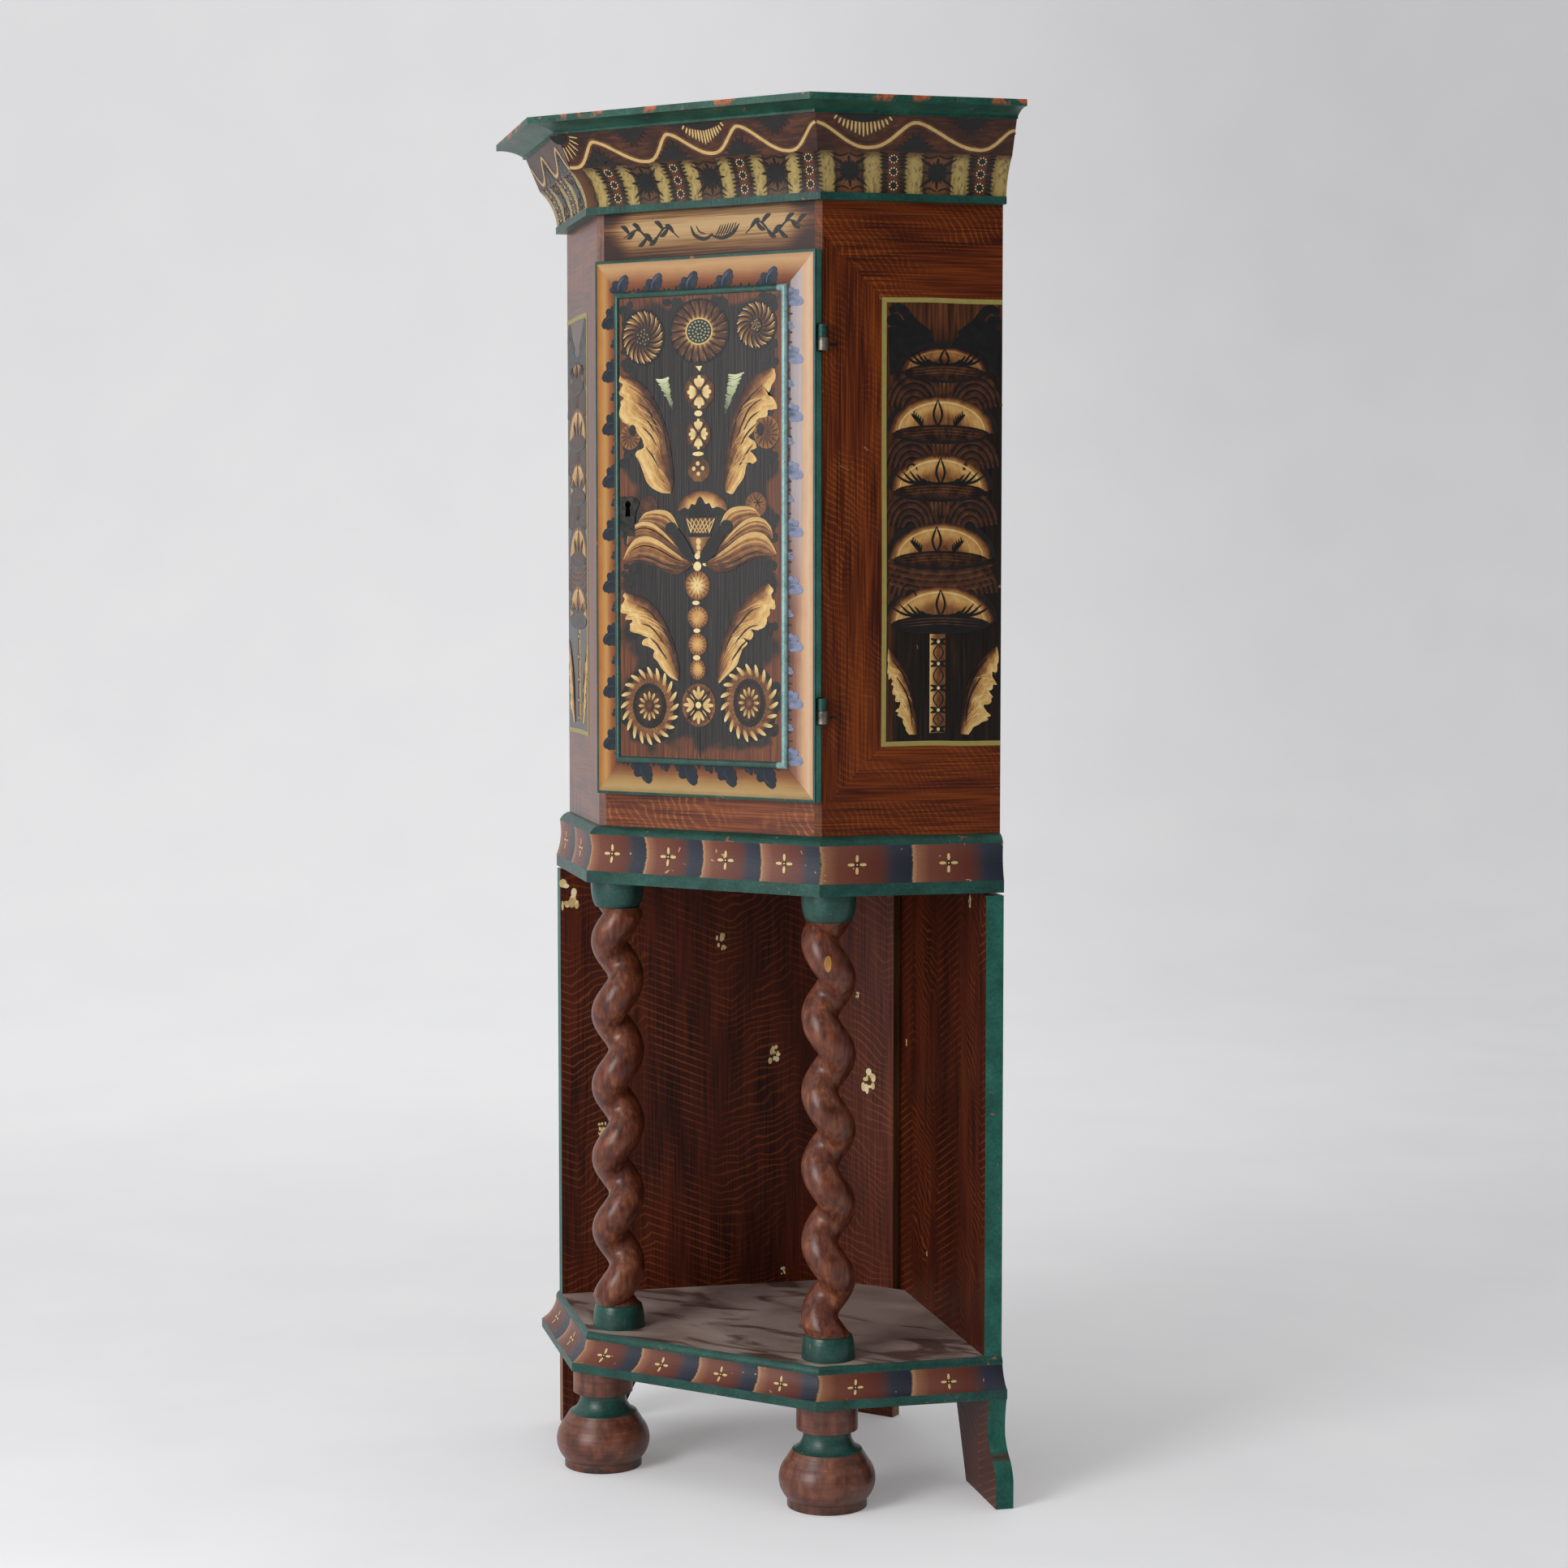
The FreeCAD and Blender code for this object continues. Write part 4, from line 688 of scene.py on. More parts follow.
# Distance from one dark column to the next, place of one of them, and tones of the squares between
COVE_PERIOD = {LEFT: 122 * MM, FRONT: 106 * MM, RIGHT: 122 * MM}
COVE_START = {LEFT: -102 * MM, FRONT: -33 * MM, RIGHT: 102 * MM}
COVE_SQUARE = {LEFT: ("3a2114", "4a2c1a"), FRONT: ("4a2e1c", "5e3d26"), RIGHT: ("5c3722", "74482c")}


def cove_material(side):
    """Upright cream stripes between brown squares and dark columns, over a green fillet."""
    paint = Paint(f"cove_{SIDE_WORDS[side]}")
    middle_reach = (COVE_FOOT + COVE_HEAD) / 2
    length = RETURN_LENGTH + MITRE * middle_reach
    start = {LEFT: length, FRONT: FRONT_HALF + MITRE * middle_reach, RIGHT: 0.0}[side]
    if side == FRONT:
        length = start * 2
    wobble = paint.noise(70.0, detail=3.0)
    run = run_along(paint, side) * length - (start + COVE_START[side])
    place = ((run + (wobble - 0.5) * 6 * MM) / COVE_PERIOD[side] + 8.0).fraction()
    away = 0.5 - (place - 0.5).size()
    streak = paint.noise(1.0, (300.0, 300.0, 20.0), 4.0, 0.3)
    square = COVE_SQUARE[side]
    colour = paint.ramp((away + (streak - 0.5) * 0.04) * 2.0,
                        [(0.0, "5e3222"), (0.12, "4a2618"), (0.24, "241610"), (0.3, "8c7642"),
                         (0.45, "a8925a"), (0.64, "957f4a"), (0.69, "21150e"), (0.78, square[0]),
                         (1.0, square[1])])
    colour = paint.mix(streak.smooth(0.5, 0.64) * 0.6, colour, "4a3a1e")
    level = ((paint.z - COVE_MIDDLE) / COVE_FADE).size()
    colour = paint.mix(level.smooth(0.68, 1.0) * 0.75, colour, "43281a")
    colour = paint.mix(paint.z.under(COVE_BOTTOM, 0.5 * MM), colour, green(paint))
    return paint.brushed(colour, streak, 0.3)


def frieze_material(side):
    """Clouded dark brown ground."""
    paint = Paint(f"frieze_{SIDE_WORDS[side]}")
    streak = paint.noise(1.0, (40.0, 40.0, 260.0), 4.0, 0.4)
    cloud = paint.noise(22.0, detail=3.0)
    colour = paint.ramp(streak * 0.5 + cloud * 0.5,
                        [(0.34, "1d0f0a"), (0.5, "3a1c11"), (0.64, "57301b"), (0.76, "6b4224")])
    return paint.brushed(colour, streak, 0.3)


def crown_material():
    """Green and dusty on top, with red ground showing through along the top edge."""
    paint = Paint("crown_green")
    fine = paint.noise(240.0, detail=3.0)
    colour = green(paint, ("15392f", "1e4c3f", "306353"))
    chip = paint.noise(26.0, detail=6.0, warp=0.6)
    rub = paint.z.smooth(CROWN_TOP - 11 * MM, CROWN_TOP - 1 * MM) * chip.smooth(0.56, 0.62)
    colour = paint.mix(rub, colour, paint.ramp(fine, [(0.35, "8a4426"), (0.6, "b5613a")]))
    colour = paint.mix(paint.facing(UP) * 0.7, colour, "5d5a50")
    return paint.finish(colour, fine * 0.3 + 0.26, fine, 0.25 * MM)


crown = crown_material()
for which in SIDES:
    dress(cove_material(which), f"cove_{SIDE_WORDS[which]}")
    dress(frieze_material(which), f"frieze_{SIDE_WORDS[which]}")
    dress(crown, f"crown_{SIDE_WORDS[which]}")


# Materials of the door
def door_board_material():
    """Green edges in a lighter copy of the green that stands for painted light, and a bare back."""
    paint = Paint("door_board_edge")
    fine = paint.noise(240.0, detail=3.0)
    wood = pine(paint, (paint.x, paint.z, paint.y))
    colour = paint.mix(paint.facing(-OUT[FRONT]), green(paint, LIT_EDGE_GREEN_TONES), wood)
    return paint.finish(colour, fine * 0.3 + 0.3, fine, 0.3 * MM)


# Tones of each strip, from its outer edge inwards; the right strip's pale pinkish tones are a painted sheen
FRAME_BANDS = {
    "left": ("89501e", "a86e35", "ae844c", "89502b", "6e3520"),
    "right": ("af825d", "c7a27e", "bc926c", "87553c", "583124"),
    "top": ("a17a52", "b78f63", "a67a51", "844e32", "5d321f"),
    "bottom": ("856c43", "a78959", "9d7a49", "7d4c2e", "572e1b"),
}


def frame_strip_material(where):
    """A tan band with a green edge, red-brown towards the field; the right one has a painted pale sheen."""
    paint = Paint(f"frame_band_{where}")
    axis, edge, way, width = FRAME_EDGES[where]
    across, along = (paint.x, paint.z) if axis == "x" else (paint.z, paint.x)
    inward = (across - edge) * way / width
    streak = paint.noise(1.0, (420.0, 8.0, 1.0), 4.0, 0.3, (across, along, 0.0))
    blot = paint.noise(34.0, detail=4.0)
    stops = list(zip((0.02, 0.25, 0.45, 0.72, 0.98), FRAME_BANDS[where]))
    colour = paint.ramp(inward + (streak - 0.5) * 0.16 + (blot - 0.5) * 0.2, stops)
    if where == "right":
        # Painted sheen: a pale grey wash over the right strip's inner half, in its upper part
        painted_sheen_band = inward.smooth(0.4, 0.6) * inward.smooth(0.95, 0.88) * paint.z.smooth(1.2, 1.42)
        colour = paint.mix(painted_sheen_band * (streak * 0.6 + 0.4), colour, "a8a4a9")
    colour = paint.mix(inward.smooth(0.1, 0.07), colour, green(paint))
    return paint.brushed(colour, streak, 0.28)


FIELD_CENTRE, FIELD_HALF = 3.6 * MM, 131.5 * MM
FIELD_BOTTOM, FIELD_TOP = 1.022, 1.654
# Width of the brown edge, the same at the foot, and the length of one lobe along the sides
FIELD_FADE, FIELD_FLOOR_FADE, LOBE_LENGTH = 26 * MM, 34 * MM, 78 * MM
BEAD_RIGHT = 129 * MM


def field_material():
    """Near-black ground, with red-brown left showing in lobes along the edges."""
    paint = Paint("field_ground")
    streak = paint.noise(1.0, (330.0, 8.0, 1.0), 4.0, 0.4, (paint.x, paint.z, 0.0))
    sway = paint.noise(18.0, detail=3.0)
    sides = (FIELD_HALF - (paint.x - FIELD_CENTRE).size()) / FIELD_FADE
    floor = (paint.z - FIELD_BOTTOM) / FIELD_FLOOR_FADE
    roof = (FIELD_TOP - paint.z) / FIELD_FADE
    lobes = (paint.z * (2 * math.pi / LOBE_LENGTH)).sine() * 0.32
    edge = (sides + lobes).least(floor).least(roof) + (sway - 0.5) * 2.6 + (streak - 0.5) * 0.9
    brown = paint.ramp(streak, [(0.3, "40231a"), (0.55, "653822"), (0.75, "834d26")])
    black = paint.ramp(streak, [(0.3, "171514"), (0.6, "272423"), (0.8, "3f3631")])
    colour = paint.mix(edge.smooth(0.75, 0.35), black, brown)
    return paint.finish(colour, streak * 0.25 + 0.28, streak, 0.35 * MM)


def bead_material():
    """Glossy green, with a painted pale sheen along the right side."""
    paint = Paint("bead_green")
    fine = paint.noise(90.0, detail=3.0)
    # Painted sheen: the paler green along the bead's right side
    sheen = paint.x.over(BEAD_RIGHT, 2 * MM) * (fine * 0.6 + 0.5)
    colour = paint.mix(sheen, green(paint), green(paint, BEAD_SHEEN_TONES))
    return paint.finish(colour, fine * 0.2 + 0.2, fine, 0.1 * MM, 0.5)


dress(door_board_material(), "door_board")
for strip in FRAME_EDGES:
    dress(frame_strip_material(strip), f"door_frame_{strip}")
dress(field_material(), "door_field")
dress(bead_material(), "field_bead")


def iron_material(name, tones):
    """Pitted iron in three tones, from dark to light."""
    paint = Paint(name)
    pits = paint.noise(300.0, detail=4.0)
    rust = paint.noise(60.0, detail=4.0)
    colour = paint.ramp(rust, list(zip((0.35, 0.55, 0.75), tones)))
    paint.shader.inputs["Metallic"].default_value = 0.8
    return paint.finish(colour, pits * 0.3 + 0.35, pits, 0.3 * MM)


dress(iron_material("forged_iron", ("1d1a18", "35302c", "5a4030")),
      "lock_case", "lock_bolt", "lock_keep", "hinge_pins", "hinge_nails_door", "hinge_nails_frame")
dress(iron_material("rubbed_iron", ("57524b", "8a857c", "a89f90")),
      "hinge_upper_frame_leaf", "hinge_lower_frame_leaf")
dress(hinge_material(), "hinge_upper_door_leaf", "hinge_lower_door_leaf")


def plate_material():
    """The lock's plate, painted over with the field's black."""
    paint = Paint("plate_black")
    wear = paint.noise(120.0, detail=4.0)
    colour = paint.ramp(wear, [(0.35, "151312"), (0.6, "282422"), (0.8, "4a4038")])
    return paint.finish(colour, wear * 0.3 + 0.2, wear, 0.3 * MM)


dress(plate_material(), "keyhole_plate")


# Faces to paint on: each turns (u, v) on the face and a height above it into a point
class Flat:
    """A flat upright face: u to the right and v up, as seen from outside."""

    def __init__(self, origin, across, mirror=1):
        self.origin = origin
        self.across = across * mirror
        self.out = across.cross(UP)

    def at(self, u, v, height):
        return self.origin + self.across * u + UP * v + self.out * height


class Band:
    """A moulding's face: u along it, and v up its slope from its foot."""

    def __init__(self, side, foot, head, hollow):
        self.side = side
        self.foot = Vector(foot)
        self.head = Vector(head)
        chord = self.head - self.foot
        self.inward = Vector((-chord.y, chord.x)).normalized() * hollow
        self.height = chord.length
        self.length = self.length_at((self.foot.x + self.head.x) / 2)
        start = {LEFT: -self.length, FRONT: -self.length / 2, RIGHT: 0.0}[side]
        self.low = start / MM
        self.high = (start + self.length) / MM

    def length_at(self, depth):
        """The band's length from mitre to mitre at a distance out from the cupboard."""
        if self.side == FRONT:
            return 2 * (FRONT_HALF + MITRE * depth)
        return RETURN_LENGTH + MITRE * depth

    def holds(self, u, margin):
        """Whether a place along the band lies inside its ends by a margin, in millimetres."""
        return self.low + margin < u < self.high - margin

    def at(self, u, v, height):
        share = min(1.0, max(0.0, v / self.height))
        point = self.foot.lerp(self.head, share) + self.inward * (4 * share * (1 - share))
        slope = self.head - self.foot + self.inward * (4 - 8 * share)
        normal = Vector((slope.y, -slope.x)).normalized()
        along = u * self.length_at(point.x) / self.length - self.side * MITRE * point.x
        point = point + normal * height
        return CORNER[self.side] + ACROSS[self.side] * along + OUT[self.side] * point.x + UP * point.y


# How far a strip stands out at its outer edge, how much more at the bead, and its hollow
STRIP_EDGE, STRIP_RISE, STRIP_HOLLOW = 3 * MM, 7 * MM, 6 * MM


class Strip:
    """A sloping strip of the door's frame: u from the bead outwards, v along the strip."""

    def __init__(self, where):
        self.axis, self.edge, self.way, self.width = FRAME_EDGES[where]

    def at(self, u, v, height):
        rise = 1 - u / self.width
        out = STRIP_EDGE + STRIP_RISE * rise - STRIP_HOLLOW * rise * (1 - rise) + height
        place = self.edge + self.way * (self.width - u)
        x, z = (place, v) if self.axis == "x" else (v, place)
        return Vector((x, DOOR_FACE_Y - out, z))


# Paints
def stroke_paint(name, stops, gloss, contrast=0.3):
    """Oil paint whose tone follows each stroke's shade and the hairs of its brush."""
    paint = Paint(f"{name}_paint")
    shade = paint.attribute("shade")
    hair = paint.attribute("hair")
    bristle = paint.noise(1.0, (34.0, 1.0, 1.0), 3.0, 0.0, (hair, 0.0, 0.0))
    cloud = paint.noise(90.0, detail=3.0)
    tone = shade + (bristle - 0.5) * contrast + (cloud - 0.5) * contrast
    return paint.finish(paint.ramp(tone, stops), cloud * 0.2 + gloss, bristle * 0.7 + cloud * 0.3, 0.2 * MM)


PAINTS = {
    "gold": stroke_paint("gold", [(0.0, "1d110d"), (0.2, "522f1b"), (0.42, "8a5d35"), (0.62, "b08248"),
                                  (0.8, "c8a263"), (1.0, "dcc68c")], 0.3, 0.4),
    "cream": stroke_paint("cream", [(0.0, "6b4a28"), (0.4, "b8955a"), (0.7, "d6bf85"),
                                    (1.0, "e9dcb0")], 0.32),
    "black": stroke_paint("black", [(0.0, "0f0e0f"), (0.5, "1f1d1e"), (1.0, "3a3430")], 0.26),
    "navy": stroke_paint("navy", [(0.0, "10141b"), (0.5, "232b36"), (0.8, "3d4656"), (1.0, "7c84a0")], 0.26),
    "olive": stroke_paint("olive", [(0.0, "6b612b"), (0.5, "938749"), (1.0, "aea367")], 0.32),
    "chalk": stroke_paint("chalk", [(0.0, "5e6a50"), (0.5, "a9b088"), (1.0, "d9dcb6")], 0.35),
}

# Brush strokes: thin closed slabs of paint, whose undersides lie a little inside the face
SUNK = -0.05 * MM
# Small steps keep neighbouring strokes and layers from lying at the same height
STROKE_STEP = 0.012 * MM
STROKE_TURNS = 9
LAYER_STEP = 0.002 * MM
# Factor on the height of every stroke, and the shift of the hairs from one stroke to the next
PAINT_BODY = 1.5
HAIR_STEP = 1.7
LAYER_NUMBERS = itertools.count()


class Layer:
    """All strokes of one paint in one area, gathered into one mesh."""

    def __init__(self, name, material, body, slot):
        self.name = name
        self.material = material
        self.body = body
        self.slot = slot
        self.points = []
        self.faces = []
        self.shades = []
        self.hairs = []
        self.strokes = 0
        self.offset = next(LAYER_NUMBERS) * LAYER_STEP

    def slab(self, face, rows, lift):
        """One slab over rows of (u, v, shade), all rows being equally long."""
        count, width = len(rows), len(rows[0])
        start = len(self.points)
        under = start + count * width
        lift = lift * PAINT_BODY + self.offset + self.strokes % STROKE_TURNS * STROKE_STEP
        for height in (lift, SUNK):
            for row in rows:
                for column, (u, v, shade) in enumerate(row):
                    self.points.append(face.at(u, v, height))
                    self.shades.append(shade)
                    self.hairs.append(self.strokes * HAIR_STEP + column / (width - 1))
        self.strokes += 1
        for row in range(count - 1):
            for column in range(width - 1):
                first = start + row * width + column
                quad = (first, first + 1, first + width + 1, first + width)
                self.faces.append(quad)
                self.faces.append(tuple(index - start + under for index in reversed(quad)))
        rim = list(range(width))
        rim += [row * width + width - 1 for row in range(1, count)]
        rim += [(count - 1) * width + column for column in range(width - 2, -1, -1)]
        rim += [row * width for row in range(count - 2, 0, -1)]
        for here, there in zip(rim, rim[1:] + rim[:1]):
            self.faces.append((start + there, start + here, under + here, under + there))

    def build(self):
        """Make the mesh, and let it ride on its body."""
        mesh = bpy.data.meshes.new(self.name)
        mesh.from_pydata(self.points, [], self.faces)
        for title, values in (("shade", self.shades), ("hair", self.hairs)):
            mesh.attributes.new(title, "FLOAT", "POINT").data.foreach_set("value", values)
        work = bmesh.new()
        work.from_mesh(mesh)
        bmesh.ops.recalc_face_normals(work, faces=work.faces)
        work.to_mesh(mesh)
        work.free()
        mesh.materials.append(self.material)
        piece = add_to_scene(self.name, mesh)
        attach(piece, self.body)


# Shades run from 0 for dark to 1 for light; a shade is a number or a function of two shares
def blend(first, second, share):
    """The value at a share of the way from the first to the second."""
    return first + (second - first) * share


def across_shade(first, second):
    """A shade that runs from one side of a stroke to the other."""
    return lambda along, across: blend(first, second, across)


def along_shade(first, second):
    """A shade that runs from the start of a stroke to its end."""
    return lambda along, across: blend(first, second, along)


def middle_shade(edge, gain):
    """A shade that grows lighter from both sides of a stroke to its middle."""
    return lambda along, across: edge + gain * math.sin(math.pi * across)


def rim_shade(middle, rim, power=1.0):
    """A shade that runs from the middle of an oval to its rim."""
    return lambda radius, across: blend(middle, rim, radius ** power)


def tone_at(shade, first, second):
    """A shade's value for its two shares."""
    return shade(first, second) if callable(shade) else shade


def curve(points, count):
    """Points along a smooth curve through the given ones."""
    knots = [Vector(point) for point in points]
    knots = [2 * knots[0] - knots[1], *knots, 2 * knots[-1] - knots[-2]]
    spans = len(points) - 1
    result = []
    for step in range(count):
        place = spans * step / (count - 1)
        index = min(int(place), spans - 1)
        share = place - index
        a, b, c, d = knots[index:index + 4]
        result.append((2 * b + (c - a) * share + (2 * a - 5 * b + 4 * c - d) * share ** 2
                       + (3 * b - a - 3 * c + d) * share ** 3) / 2)
    return result


# Angles, in degrees
FULL_TURN = 360
QUARTERS = (0, 90, 180, 270)
HALF_QUARTER = 45
GOLDEN_ANGLE = 137.5


def polar(middle, radii, angle, share=1.0):
    """The point of an oval at an angle, or a share of the way out to it."""
    turn = math.radians(angle)
    return middle[0] + radii[0] * share * math.cos(turn), middle[1] + radii[1] * share * math.sin(turn)


def ray(middle, radii, angle, shares):
    """Points on the way out to an oval at one angle."""
    return [polar(middle, radii, angle, share) for share in shares]


def arc(middle, radii, low, high, count=7):
    """Points round a part of an oval."""
    return [polar(middle, radii, blend(low, high, index / (count - 1))) for index in range(count)]


def mirrored(points, middle):
    """The same points on the other side of an upright line."""
    return [(2 * middle - u, v) for u, v in points]


# An oval stops short of its poles, so that its first and last rows keep some length
OVAL_END = 84
# Widths of a stroke at its start and end, as shares of its full width
POINTED = (0.9, 0.1)
FINE = (0.2, 0.2)
HALVED = (0.5, 0.5)
BLUNT = (0.6, 0.6)
SQUARE = (1.0, 1.0)


class Brush:
    """Paints one layer on one face; all figures are in millimetres."""

    def __init__(self, layer, face):
        self.layer = layer
        self.face = face

    def lay(self, count, columns, lift, spot):
        """One slab; spot gives (u, v, shade) for the number of a row and a share of the way across."""
        rows = []
        for index in range(count):
            spots = [spot(index, column / (columns - 1)) for column in range(columns)]
            rows.append([(u * MM, v * MM, shade) for u, v, shade in spots])
        self.layer.slab(self.face, rows, lift * MM)

    def stroke(self, points, width, lift, shade, ends=(0.15, 0.15), count=9, columns=3):
        """A stroke along a curve, widest in its middle; its ends are shares of its width."""
        spine = curve(points, count)

        def spot(index, across):
            along = index / (count - 1)
            ahead = spine[min(index + 1, count - 1)] - spine[max(index - 1, 0)]
            side = Vector((-ahead.y, ahead.x)).normalized()
            narrow = blend(*ends, along)
            half = width / 2 * (narrow + (1 - narrow) * math.sin(math.pi * along) ** 0.7)
            place = spine[index] + side * half * (2 * across - 1)
            return place.x, place.y, tone_at(shade, along, across)

        self.lay(count, columns, lift, spot)

    def leaf(self, inner, outer, lift, shade, count=30, columns=9):
        """A leaf between two edges, both from its base to its tip."""
        edges = list(zip(curve(inner, count), curve(outer, count)))

        def spot(index, across):
            first, second = edges[index]
            place = first.lerp(second, across)
            return place.x, place.y, tone_at(shade, index / (count - 1), across)

        self.lay(count, columns, lift, spot)

    def oval(self, middle, radii, lift, shade, low=-OVAL_END, high=OVAL_END, count=11, columns=9):
        """An oval, or a part of one from a low to a high angle."""

        def spot(index, across):
            angle = math.radians(blend(low, high, index / (count - 1)))
            run = (2 * across - 1) * math.cos(angle)
            rise = math.sin(angle)
            tone = tone_at(shade, math.hypot(run, rise), run)
            return middle[0] + run * radii[0], middle[1] + rise * radii[1], tone

        self.lay(count, columns, lift, spot)

    def dot(self, middle, radii, lift, shade):
        """A small oval of fewer points."""
        self.oval(middle, radii, lift, shade, count=7, columns=5)

    def petals(self, middle, radii, inner, outer, number, width, lift, shade, twist=0.0, start=0.0):
        """A ring of petals between two shares of an oval's radii; the twist bends them, in degrees."""
        for index in range(number):
            angle = start + FULL_TURN * index / number
            spine = [polar(middle, radii, angle + twist * share, share)
                     for share in (inner, blend(inner, outer, 0.5), outer)]
            self.stroke(spine, width, lift, shade, (0.5, 0.3), 6)


class Palette:
    """Brushes in several paints for one area, with one mesh to each paint."""

    def __init__(self, area, body, slot, paints, face=None):
        self.layers = {paint: Layer(f"{area}_{paint}", PAINTS[paint], body, slot) for paint in paints}
        self.turn_to(face)

    def turn_to(self, face):
        """Paint on this face from now on."""
        for paint, layer in self.layers.items():
            setattr(self, paint, Brush(layer, face))

    def build(self):
        """Make the meshes of all paints."""
        for layer in self.layers.values():
            layer.build()


# Ornament of the door's field, in millimetres from the cabinet's middle and the floor
FIELD_MIDDLE = 3.0
door = Palette("door", "door", "field_dark", ("black", "gold", "cream", "chalk"),
               Flat(Vector((0.0, FIELD_FACE_Y, 0.0)), ACROSS[FRONT]))


def paint_sun_flower(middle, seeds, reach, number):
    """The large flower at the top: dark-ended petals, a pale ring and a plain seed disc."""
    door.black.oval(middle, (reach[0] + 3, reach[1] + 3), 0.2, 0.35)
    door.gold.petals(middle, reach, 0.45, 1.0, number, 12, 0.35, along_shade(0.36, 0.1), 10)
    door.gold.petals(middle, reach, 0.6, 0.99, number, 2.0, 0.42, along_shade(0.1, 0.42), 10, 100 / number)
    door.black.petals(middle, reach, 0.5, 1.04, number, 3.2, 0.5, 0.1, 10, 180 / number)
    door.cream.petals(middle, reach, 0.42, 0.6, number, 2.6, 0.5, along_shade(0.4, 0.0), 10)
    door.cream.oval(middle, (seeds[0] + 2.2, seeds[1] + 2.2), 0.55, 0.5)
    door.black.oval(middle, seeds, 0.65, 0.6)
    for ring, dashes in ((0.25, 6), (0.52, 12), (0.8, 18)):
        for index in range(dashes):
            seed = polar(middle, seeds, FULL_TURN * index / dashes + ring * 40, ring)
            door.chalk.dot(seed, (1.7, 1.3), 0.8, 0.25)


def paint_side_flower(middle, eye, reach, number, twist):
    """A smaller flower: brown petals with pale tips round a dark seeded eye."""
    door.black.oval(middle, (reach[0] + 4, reach[1] + 4), 0.2, 0.3)
    door.gold.petals(middle, reach, 0.35, 1.0, number, 6.6, 0.35, along_shade(0.14, 0.4), twist)
    door.cream.petals(middle, reach, 0.6, 1.03, number, 2.6, 0.45, along_shade(0.0, 0.7), twist, 120 / number)
    door.black.petals(middle, reach, 0.42, 1.04, number, 3.4, 0.5, 0.1, twist, 200 / number)
    door.black.oval(middle, eye, 0.6, 0.55)
    seeds = 14
    for index in range(seeds):
        seed = polar(middle, eye, index * GOLDEN_ANGLE, 0.8 * math.sqrt((index + 0.5) / seeds))
        door.cream.dot(seed, (1.1, 1.2), 0.75, 0.2)


def paint_wheel_flower(middle, ring, reach, eye, number, twist):
    """A lower corner flower: separate curved petals, a dark ring and an inner wreath."""
    door.black.oval(middle, reach, 0.2, 0.3)
    door.gold.oval(middle, (reach[0] * 0.86, reach[1] * 0.86), 0.26, rim_shade(0.42, 0.16, 3))
    door.gold.petals(middle, ring, 0.95, 1.4, 36, 2.2, 0.32, along_shade(0.14, 0.5), twist)
    door.cream.petals(middle, reach, 0.72, 1.0, number + 3, 5.4, 0.45, along_shade(0.2, 0.74), twist + 14)
    door.black.oval(middle, ring, 0.55, 0.3)
    door.gold.oval(middle, (ring[0] * 0.8, ring[1] * 0.8), 0.65, rim_shade(0.3, 0.02))
    door.cream.petals(middle, ring, 0.3, 0.64, 12, 4.2, 0.78, along_shade(0.1, 0.6))
    door.gold.oval(middle, eye, 0.9, rim_shade(0.3, 0.08))


def paint_trefoil(middle, reach, angle, brightness, width):
    """A pale petal of three lobes that points away from a flower's middle."""
    root = polar(middle, reach, angle, 0.28)
    for lean, share in ((-24, 0.76), (24, 0.76), (0, 0.88)):
        tip = polar(middle, reach, angle + lean, share)
        shade = along_shade(brightness - 0.25, brightness)
        door.cream.stroke([root, tip], width, 0.55, shade, (0.3, 0.45), 6, 4)


def paint_cross_disc(middle, reach):
    """The disc between the lower flowers: a dark cross, with a pale petal in each quarter."""
    door.gold.oval(middle, reach, 0.3, rim_shade(0.08, 0.3, 3))
    door.gold.petals(middle, reach, 0.78, 0.98, 22, 4, 0.4, along_shade(0.16, 0.36))
    for angle in QUARTERS:
        arm = ray(middle, reach, angle + HALF_QUARTER, (0.0, 0.96))
        door.black.stroke(arm, 4.5, 0.48, 0.1, (0.6, 0.4), 6)
        dash = ray(middle, reach, angle + HALF_QUARTER, (0.32, 0.72))
        door.cream.stroke(dash, 1.8, 0.62, 0.55, count=4)
        paint_trefoil(middle, reach, angle, 0.62, reach[0] * 0.2)
    door.cream.dot(middle, (4.5, 4.5), 0.7, 0.75)


def rounded_block(middle, reach):
    """Left and right edges of a block with round corners."""
    left = [polar(middle, (reach[0] * 1.12, reach[1]), angle) for angle in (-112, -152, 180, 152, 112)]
    return left, mirrored(left, middle[0])


def block_shade(along, across):
    """Light in the middle of a block and dark at its edges."""
    return 0.12 + 0.3 * math.sin(math.pi * across) * math.sin(math.pi * along)


def paint_flower_block(middle, reach, brightness):
    """A rounded brown block of the upper chain with a four-petal flower on it."""
    door.gold.leaf(*rounded_block(middle, reach), 0.35, block_shade, 14, 7)
    for angle in QUARTERS:
        vein = ray(middle, reach, angle + HALF_QUARTER, (0.1, 1.0))
        door.black.stroke(vein, 2.4, 0.5, 0.15, (0.6, 0.4), 5)
        paint_trefoil(middle, reach, angle, brightness, reach[0] * 0.34)
    eye = reach[0] * 0.17
    door.black.dot(middle, (eye, eye), 0.68, 0.15)


